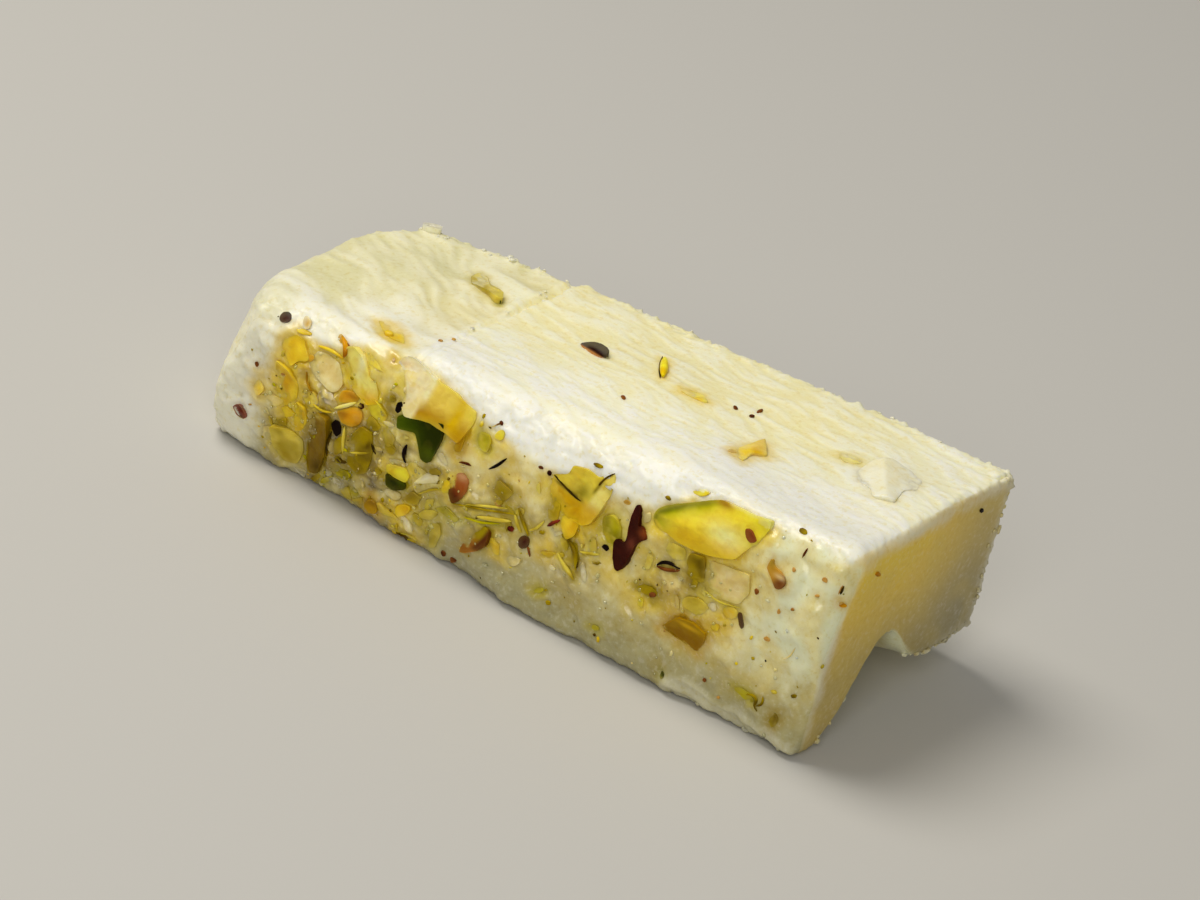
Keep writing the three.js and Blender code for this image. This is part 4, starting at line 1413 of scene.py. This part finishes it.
def sliver_tone(point, x, z):
    tone = mixed(hue("fff04a"), hue("f4d822"), cloud(0.5, 1.0, x, z))
    tone = mixed(tone, hue("e6ba04"), 0.7 * smoothstep(16.8 + 0.25 * (x - 17) - z, -0.6, 0.8))
    tone = mixed(tone, hue("fff6a8"), 0.8 * spot(x, z, 23.5, 19.0, 2.2, 1.3))
    tone = mixed(tone, hue("f3c808"), 0.7 * spot(x, z, 19.2, 17.2, 1.6, 1.2))
    tone = mixed(tone, hue("e6e01c"), 0.8 * spot(x, z, 27.4, 22.6, 1.4, 1.0))
    step = x - 15.5
    depth = 17.9 + 0.86 * step - 0.02 * step ** 2 - z
    left_part = 1 - smoothstep(x, 20.5, 23.4)
    rim = (1 - smoothstep(depth, 0.4, 2.2)) * left_part
    tone = mixed(tone, hue("bfbc00"), 0.95 * max(rim, spot(x, z, 15.8, 17.0, 1.1, 1.3)))
    dark_rim = max((1 - smoothstep(depth, 0.1, 1.1)) * left_part, spot(x, z, 15.2, 17.2, 0.55, 1.2))
    tone = mixed(tone, hue("5f6c04"), 0.95 * dark_rim)
    return mixed(tone, hue("9a640c"), 0.9 * spot(x, z, 22.4, 22.3, 1.1, 0.6))


sliver = nut(SLIVER, proud=0.6, planes=[(19, 18.5, 0.75, 0.06, -0.12), (24, 19.5, 0.65, -0.08, 0.1),
                                        (21, 16.2, 0.3, 0.0, 0.35)])
large_piece("pistachio_sliver", "nut_sliver", SLIVER, sliver, sliver_tone, nut_yellow,
            fade=0.3, reach=0.7)

# %% Pale chunk with two facets


def pale_chunk_tone(point, x, z):
    facet = smoothstep(x - 0.25 * (z - 16), -13.9, -13.3)
    tone = mixed(hue("f6e8b4"), hue("f4d85c"), facet)
    # The bright line along the edge between the two facets is a painted highlight.
    tone = mixed(tone, hue("fff8c8"), 0.8 * spot(x - 0.25 * (z - 16), 0, -13.4, 0, 0.4, 9))
    tone = mixed(tone, hue("c39400"), facet * (1 - smoothstep(z, 14.3, 16.8)))
    tone = mixed(tone, hue("e2ba00"), 0.95 * spot(x - 0.3 * (z - 16), 0, -9.3, 0, 0.8, 9))
    tone = mixed(tone, hue("f8e248"), 0.8 * spot(x, z, -7.6, 17.0, 0.7, 0.9))
    return mixed(tone, hue("d9a544"), 0.5 * spot(x, z, -16.8, 18.6, 1.0, 0.8))


pale = nut(PALE_CHUNK, proud=0.5, planes=[(-15.6, 17, 0.35, 0.28, 0.0), (-12, 16.5, 0.7, -0.05, 0.08),
                                          (-8.6, 16.6, 0.55, -0.25, 0.0)])
large_piece("pistachio_chunk_pale", "nut_chunk_pale", PALE_CHUNK, pale, pale_chunk_tone, nut_yellow,
            fade=0.45, reach=1.0)

# %% Yellow chunk


def yellow_chunk_tone(point, x, z):
    tone = mixed(hue("fff49a"), hue("ffe75c"), cloud(0.6, 4.0, x, z))
    # The pale spot high on the chunk is a painted highlight.
    tone = mixed(tone, hue("fffad0"), 0.6 * spot(x, z, -21.4, 16.2, 0.5, 1.4))
    return mixed(tone, hue("f2bc00"), 1 - smoothstep(z - 0.3 * (x + 21), 12.0, 14.2))


yellow = nut(YELLOW_CHUNK, proud=0.5, planes=[(-22, 16, 0.6, -0.2, 0.0), (-20.3, 14.2, 0.5, 0.15, 0.15)])
large_piece("pistachio_chunk_yellow", "nut_chunk_yellow", YELLOW_CHUNK, yellow, yellow_chunk_tone,
            nut_yellow, fade=0.4, reach=0.9)

# %% Folded chunk


def folded_tone(point, x, z):
    """Steeped and amber below, olive in the fold, and a paler lobe on the right."""
    lower = 1 - smoothstep(z + 0.12 * (x - 6), 14.0, 15.4)
    tone = mixed(hue("dfca40"), hue("8f8206"), 0.9 * spot(x, z, 6.6, 15.4, 1.0, 0.9))
    tone = mixed(tone, hue("eadc78"), smoothstep(x - 0.35 * (z - 16), 7.9, 8.5))
    tone = mixed(tone, hue("d0a200"), lower)
    seam = 15.25 - 0.18 * (x - 3.4)
    tone = mixed(tone, hue("5e4a04"), 0.85 * spot(0, z, 0, seam, 1, 0.22) * (1 - smoothstep(x, 6.6, 7.4)))
    return mixed(tone, hue("6f6204"), 0.8 * spot(x, 0, 8.0 + 0.38 * (z - 16), 0, 0.2, 1)
                 * smoothstep(z, 15.6, 16.4))


folded = nut(FOLDED, proud=0.6, planes=[(8.8, 16.0, 0.75, 0.3, 0.0), (4.6, 14.6, 0.7, 0.0, -0.25),
                                        (6.6, 16.4, 0.5, 0.0, -0.05)])
large_piece("pistachio_chunk_folded", "nut_chunk_faceted", FOLDED, folded, folded_tone, nut_yellow,
            fade=0.55, reach=1.1)

# %% Green chip


def green_tone(point, x, z):
    tone = mixed(hue("465a00"), hue("262e00"), smoothstep(x + 0.3 * (z - 12), -15.5, -11.5))
    return mixed(tone, hue("546600"), 0.5 * spot(x, z, -11.3, 10.6, 0.9, 0.8))


green = nut(GREEN_CHIP, proud=0.4, sink=1.0, rough=0.03, rounds=2, planes=[(-12, 12.5, 0.4, 0.03, 0.02)])
large_piece("pistachio_chip_green", "nut_chip_green", GREEN_CHIP, green, green_tone, nut_green,
            film_depth=0.06, fade=0.05)

# %% Amber chip


def amber_tone(point, x, z):
    tone = mixed(hue("926800"), hue("a88200"), smoothstep(z, 5.8, 8.6))
    # The bright streak where its two facets meet is a painted highlight.
    return mixed(tone, hue("e6ba1c"), 0.85 * spot(x, z, 22.0, 7.75, 1.3, 0.22))


amber = nut(AMBER_CHIP, proud=0.3, planes=[(22, 7.9, 0.4, 0.0, -0.2), (22, 7.2, 0.3, 0, 0.16)])
large_piece("pistachio_chip_amber", "nut_chip_amber", AMBER_CHIP, amber, amber_tone, nut_amber,
            film_depth=0.08, fade=0.15)

# %% Olive chunk


def olive_tone(point, x, z):
    tone = mixed(hue("98780a"), hue("6a4e00"), cloud(0.7, 2.0, x, z))
    tone = mixed(tone, hue("443200"), 0.8 * max(spot(x, z, -24.0, 2.6, 0.8, 1.4),
                                                spot(x, z, -25.9, 6.8, 0.7, 0.5)))
    return mixed(tone, hue("d9bc4a"), 0.8 * spot(x, z, -25.2, 8.1, 0.7, 0.25))


olive = nut(OLIVE_CHUNK, proud=0.5, planes=[(-25, 6, 0.4, 0.3, 0), (-24, 4.5, 0.6, -0.2, 0.1)])
large_piece("pistachio_chunk_olive", "nut_chunk_olive", OLIVE_CHUNK, olive, olive_tone, nut_amber,
            film_depth=0.08, fade=0.2)

# %% Flake of skin


def skin_tone(point, x, z):
    tone = mixed(hue("2c0a04"), hue("421208"), cloud(0.9, 2.0, x, z))
    tone = mixed(tone, hue("8c421a"), 0.9 * spot(x, z, 14.6, 14.7, 0.6, 0.6))
    return mixed(tone, hue("7a3a26"), 0.7 * spot(x, z, 13.5, 12.9, 0.5, 0.7))


flake = nut(SKIN_FLAKE, proud=0.45, sink=0.8, rough=0.05, rounds=1, planes=[(13.4, 13, 0.45, 0.1, 0)])
large_piece("pistachio_skin_flake", "skin_flake_maroon", SKIN_FLAKE, flake, skin_tone, nut_skin,
            film_depth=0.04, fade=0.0)

# %% [markdown]
# ## The smaller chips
# The same nut maker breaks each listed chip into facets, with slopes drawn from a seeded shuffle.
# All chips of one kind are joined to one piece.

# %% Small chips
SMALL_VOXEL = 0.19


def broken_planes(outline, proud, seed, steep=0.32):
    """Two or three facets through the middle of an outline."""
    draw = random.Random(seed)
    middle_x = sum(x for x, z in outline) / len(outline)
    middle_z = sum(z for x, z in outline) / len(outline)
    planes = []
    for _ in range(draw.choice((2, 3))):
        slopes = draw.uniform(-steep, steep), draw.uniform(-steep, steep)
        planes.append((middle_x, middle_z, proud * draw.uniform(0.85, 1.2), *slopes))
    return planes


def small_chips(name, rows, material, film_depth=0.10, fade=0.5, voxel=SMALL_VOXEL, reach=0.8):
    chips = []
    for number, (sort, proud, glass, outline) in enumerate(rows):
        planes = broken_planes(outline, proud, number)
        chip = nut(outline, proud=proud + 0.06, sink=0.8, planes=planes, rough=0.04, glass=glass,
                   rounds=1, voxel=voxel)
        paint(chip, kernel(sort), film_depth, glass, outline, fade, reach)
        chips.append(chip)
    return keep_together(name, chips, material)


small_chips("pistachio_bits_yellow", YELLOW_BITS, nut_yellow, fade=0.65)
small_chips("pistachio_bits_steeped", STEEPED_BITS, nut_amber, fade=0.45)
small_chips("pistachio_bits_green", GREEN_BITS, nut_green, fade=0.1)
small_chips("pistachio_skin_flecks", SKIN_FLECKS, nut_skin, 0.04, fade=0.1)
small_chips("milk_flakes", PALE_FLAKES, milk, film_depth=0.15, reach=0.6)
small_chips("pistachio_bits_between", FILLER_BITS, nut_amber, 0.08, fade=0.75,
            voxel=0.22, reach=0.8)

# %% [markdown]
# ## Strands
# Some shavings are as thin as a needle. Each is a curve that is laid on the fudge step by step and
# given a round section that tapers at both ends; a mesh is made of it, so it is painted as the
# chips are.

# %% Strands
STRAND_STEP = 0.35


def strand(points, width, glass=on_front_glass, lift=0.25):
    places = [points[0]]
    for (x_start, z_start), (x_end, z_end) in zip(points, points[1:]):
        steps = max(2, round(math.dist((x_start, z_start), (x_end, z_end)) / STRAND_STEP))
        for step in range(1, steps + 1):
            places.append((lerp(x_start, x_end, step / steps), lerp(z_start, z_end, step / steps)))
    laid = [point + facing * lift * width for point, facing in (touch(glass(*p)) for p in places)]
    for _ in range(3):
        inner = [(a + b * 2 + c) / 4 for a, b, c in zip(laid, laid[1:], laid[2:])]
        laid = [laid[0], *inner, laid[-1]]
    curve = bpy.data.curves.new("strand", "CURVE")
    curve.dimensions = "3D"
    curve.bevel_depth = width / 2
    curve.bevel_resolution = 2
    curve.use_fill_caps = True
    line = curve.splines.new("POLY")
    line.points.add(len(laid) - 1)
    for number, (knot, place) in enumerate(zip(line.points, laid)):
        knot.co = (*place, 1)
        knot.radius = 1 - 0.7 * abs(2 * number / (len(laid) - 1) - 1) ** 2.5
    holder = bpy.data.objects.new("strand", curve)
    made = bpy.data.meshes.new_from_object(holder)
    thread = bmesh.new()
    thread.from_mesh(made)
    bpy.data.objects.remove(holder)
    bpy.data.meshes.remove(made)
    bmesh.ops.remove_doubles(thread, verts=thread.verts, dist=0.001)
    return thread


threads = []
for sort, width, glass, points in STRANDS:
    thread = strand(points, width, glass=glass)
    paint(thread, kernel(sort), film_depth=0.12, glass=glass)
    threads.append(thread)
keep_together("kernel_strands", threads, nut_amber, shade_angle=80)

# %% [markdown]
# ## Seeds, threads of skin and specks
# The dark ones are small but catch the eye, so their places matter. Long ones are strands, round
# ones are small scraps with a soft edge.

# %% Dark threads and specks
dark_parts = []
for sort, width, glass, points in DARK_THREADS:
    thread = strand(points, width, glass=glass, lift=0.15)
    paint(thread, kernel(sort), film_depth=0.03, glass=glass)
    dark_parts.append(thread)
for number, (sort, glass, x, z, length, width, slant) in enumerate(SPECKS):
    outline = ring(x, z, length, width, slant, corners=8, uneven=0.16, seed=number)
    speck, _, _ = scrap(outline, glass=glass, proud=0.16, sink=0.3, edge=0.1, segments=3)
    paint(speck, kernel(sort, 1.2), film_depth=0.03, glass=glass)
    dark_parts.append(speck)
keep_together("dark_seeds", dark_parts, nut_skin, shade_angle=80)

# %% [markdown]
# ## Beads, crumbs and dust
# What is left is too small to place one by one. Beads of syrup catch the light between the nuts,
# crumbs of fudge hang on the broken edges, and the knife left nut dust everywhere. Particles would
# scatter them too, but the export drops those, so each one is a small ball that is flattened,
# roughened and turned to the surface.

# %% Ball maker


def pebble(place, facing, length, width, height, turn_degrees=0.0, roughness=0.15, fineness=2):
    ball = bmesh.new()
    bmesh.ops.create_icosphere(ball, subdivisions=fineness, radius=0.5)
    for vert in ball.verts:
        uneven = noise.noise(vert.co * 3.1 + place)
        vert.co *= 1 + roughness * uneven
    shape = (Matrix.Translation(place) @ facing.to_track_quat("Z", "Y").to_matrix().to_4x4()
             @ Matrix.Rotation(math.radians(turn_degrees), 4, "Z")
             @ Matrix.Diagonal((length, width, height, 1)))
    ball.transform(shape)
    return ball


# x, z, length, width, turn
BEADS = [
    (-22.3, 2.9, 1.3, 2.6, 0), (-20.1, 3.2, 1.5, 1.1, 0), (-18.8, 2.6, 1.0, 0.8, 0),
    (-26.1, 7.8, 0.9, 0.9, 0), (-26.8, 6.8, 0.7, 0.7, 0), (-31.3, 7.9, 0.8, 1.0, 0),
    (-30.8, 12.8, 0.8, 0.8, 0), (-27.2, 10.1, 0.7, 0.8, 0), (-28.6, 7.7, 0.8, 0.9, 0),
    (-16.9, 5.1, 0.9, 0.9, 0), (-26.5, 9.1, 0.7, 0.5, 0), (-11.6, 4.2, 0.7, 0.6, 0),
    (-9.1, 3.3, 1.0, 0.7, 0), (24.3, 14.1, 1.1, 0.6, 20), (25.5, 13.9, 0.8, 0.6, 0),
    (23.4, 12.1, 1.0, 0.5, 0), (21.4, 12.2, 1.3, 0.5, 25), (16.1, 7.7, 0.7, 0.6, 0),
    (16.9, 5.4, 1.0, 0.6, 0), (-2.0, 2.4, 1.4, 0.9, 0), (0.2, 2.6, 0.8, 0.7, 0),
    (18.2, 10.9, 0.9, 0.6, 0), (23.6, 18.3, 0.7, 0.5, 0), (24.6, 17.7, 0.6, 0.8, -30),
    (24.4, 20.6, 0.7, 0.8, 0), (28.5, 15.9, 0.8, 0.6, 0), (29.7, 14.9, 1.4, 0.7, 0),
    (6.0, 4.6, 0.9, 0.5, 0), (12.0, 4.6, 0.9, 0.5, 0), (-7.2, 11.4, 1.2, 0.4, 12),
    (15.8, 13.3, 0.7, 0.5, 0), (22.4, 7.8, 1.0, 0.3, 0),
    (28.0, 4.2, 0.7, 0.5, 0), (-22.1, 4.6, 0.5, 0.6, 0),
]


def glaze_tone(point, x, z):
    # The bead takes the fudge colour with a touch of white: a slight painted sheen.
    return mixed(studded_tone_and_shade(x, z)[0], hue("fff8dc"), 0.08)


drops = []
for x, z, length, width, slant in BEADS:
    place, facing = touch(on_front_glass(x, z))
    size = 0.45 + 0.4 * crowd_at(x, z)
    drop = pebble(place, facing, size * length, size * width, 0.36, slant, 0.12, fineness=3)
    paint(drop, glaze_tone, film_depth=0.3)
    drops.append(drop)


def glaze_finish():
    finish = Finish("milk_glaze")
    ripple = finish.noise(finish.stretched((1.4, 1.4, 1.4)), detail=2)
    finish.set(base_color=finish.painted("tone", "Color"), roughness=0.1)
    finish.set(coat_weight=1.0, coat_roughness=0.03)
    finish.set(subsurface_weight=0.6, subsurface_radius=(1.0, 0.8, 0.5), subsurface_scale=0.0015)
    finish.set(normal=finish.bump(ripple, 0.05, strength=0.4))
    return finish.material


glaze = glaze_finish()
dark_places = [(x, z) for _, glass, x, z, *_ in SPECKS if glass is FRONT]
shuffle = random.Random(41)
while len(drops) < 190:
    x = shuffle.uniform(-33, 36)
    z = shuffle.uniform(1, garnish_top(x) - 0.8)
    if shuffle.random() > 0.15 + 0.85 * crowd_at(x, z):
        continue
    if min(math.dist((x, z), place) for place in dark_places) < 1.3:
        continue
    place, facing = touch(on_front_glass(x, z))
    size = shuffle.uniform(0.2, 0.5)
    drop = pebble(place, facing, size, size * shuffle.uniform(0.7, 1.3), 0.28, 0, 0.1)
    paint(drop, glaze_tone, film_depth=0.3)
    drops.append(drop)
keep_together("syrup_beads", drops, glaze, shade_angle=180)

# %% Nut dust
DUST_GRAINS = 220
dust = []
shuffle = random.Random(7)
while len(dust) < DUST_GRAINS:
    x = shuffle.uniform(-35, 37.5)
    z = shuffle.uniform(0.6, garnish_top(x) + 0.6)
    if shuffle.random() > 0.22 + 0.78 * crowd_at(x, z):
        continue
    place, facing = touch(on_front_glass(x, z))
    size = 0.16 + 0.42 * shuffle.random() ** 3
    sort = shuffle.choice(("straw", "straw", "moss", "olive", "olive", "gold", "umber", "beige",
                           "fawn", "beige"))
    grain = pebble(place + facing * 0.02, facing, size * shuffle.uniform(1, 2.2), size, 0.6 * size,
                   shuffle.uniform(0, 180), 0.25, fineness=1)
    paint(grain, kernel(sort), film_depth=0.02)
    dust.append(grain)


def strewn_grain(place, largest, sorts):
    """A grain of nut on the back or the left end, flat on the fudge."""
    point, facing, _, _ = surface.find_nearest(place)
    size = largest * shuffle.uniform(0.25, 1.0) ** 2
    grain = pebble(point + facing * 0.04 * size, facing, 1.6 * size, size, 0.4 * size,
                   shuffle.uniform(0, 180), 0.35)
    paint(grain, kernel(shuffle.choice(sorts)), film_depth=0.06)
    return grain


for _ in range(46):
    x = shuffle.uniform(-34, 35)
    place = Vector((x, 17, shuffle.uniform(1.5, height_at(x) - 4)))
    dust.append(strewn_grain(place, 1.5, ("straw", "gold", "olive", "brown", "moss", "umber", "straw")))
for _ in range(10):
    place = Vector((-38, shuffle.uniform(-10, 12), shuffle.uniform(2, 15)))
    dust.append(strewn_grain(place, 1.2, ("straw", "gold", "brown", "olive")))
keep_together("nut_dust", dust, nut_amber, shade_angle=80)

# %% Crumbs of fudge
CRUMB_STRETCHES = [
    # from and to in the bar's frame, how many, largest size
    ((-37, 12, 17.2), (-20, 15, 18.8), 16, 0.7),
    ((-20, 15, 19.0), (37, 14.6, 23.8), 18, 0.5),
    ((-37, -13, 0.3), (36, -15.4, 0.3), 46, 0.8),
    ((37.5, -13, 1.6), (37.3, 14, 5.2), 22, 1.0),
    ((37.6, 14.4, 6), (37.8, 14, 23.4), 18, 0.8),
    ((-37.6, -11, 1), (-35, 13, 1), 14, 0.7),
    ((-36, 15, 0.4), (37, 16, 0.4), 24, 0.9),
    ((-16.2, -8, 19.6), (-16.6, 12, 19.6), 12, 0.5),
]
shuffle = random.Random(23)
crumbs = []
for start, end, count, largest in CRUMB_STRETCHES:
    for _ in range(count):
        share = shuffle.random()
        spread = Vector([shuffle.gauss(0, 0.45) for _ in range(3)])
        place, facing, _, _ = surface.find_nearest(Vector(start).lerp(Vector(end), share) + spread)
        size = largest * shuffle.uniform(0.3, 1.0) ** 1.5
        middle = place + facing * 0.08 * size
        middle.z = max(middle.z, 0.3 * size)
        crumb = pebble(middle, facing, size * shuffle.uniform(0.8, 1.4), size, 0.7 * size,
                       shuffle.uniform(0, 180), 0.5)
        paint(crumb, kernel("milk"), film_depth=0.8)
        crumbs.append(crumb)
keep_together("milk_crumbs", crumbs, milk, shade_angle=60)


# %% Floor, light and view
def place_camera():
    data = bpy.data.cameras.new("camera")
    data.lens = LENS
    data.sensor_width = 36
    data.clip_start = 0.01
    data.clip_end = 20
    camera = bpy.data.objects.new("camera", data)
    columns = (right, up, back)
    turned = Matrix([[column[row] for column in columns] for row in range(3)]).to_4x4()
    camera.matrix_world = Matrix.Translation(eye * 0.001) @ turned
    bpy.context.scene.collection.objects.link(camera)
    bpy.context.scene.camera = camera


place_camera()

FLOOR_SIZE = 6.0
floor_mesh = bpy.data.meshes.new("floor")
ground = bmesh.new()
bmesh.ops.create_grid(ground, x_segments=1, y_segments=1, size=FLOOR_SIZE / 2)
ground.to_mesh(floor_mesh)
ground.free()
floor = bpy.data.objects.new("floor", floor_mesh)
bpy.context.scene.collection.objects.link(floor)
stone = Finish("pale_floor")
stone.set(base_color=hue("c9c7c2"), roughness=0.8)
floor_mesh.materials.append(stone.material)


def area_light(name, towards, distance, size, power, tone):
    data = bpy.data.lights.new(name, "AREA")
    data.shape = "DISK"
    data.size = size
    data.energy = power
    data.color = hue(tone)[:3]
    lamp = bpy.data.objects.new(name, data)
    direction = Vector(towards).normalized()
    lamp.matrix_world = (Matrix.Translation(direction * distance)
                         @ direction.to_track_quat("Z", "Y").to_matrix().to_4x4())
    bpy.context.scene.collection.objects.link(lamp)
    return lamp


area_light("key", (-0.42, -0.12, 0.88), 0.6, 0.35, 2.4, "fffaf0")
area_light("fill", (0.40, -0.85, 0.62), 0.9, 0.45, 2.3, "fffdf8")

world = bpy.data.worlds.new("studio")
bpy.context.scene.world = world
world.use_nodes = True
world.node_tree.nodes["Background"].inputs["Color"].default_value = hue("f4f4f2")
world.node_tree.nodes["Background"].inputs["Strength"].default_value = 0.22
bpy.context.scene.view_settings.view_transform = "Standard"
print("camera, floor and lights are in place")
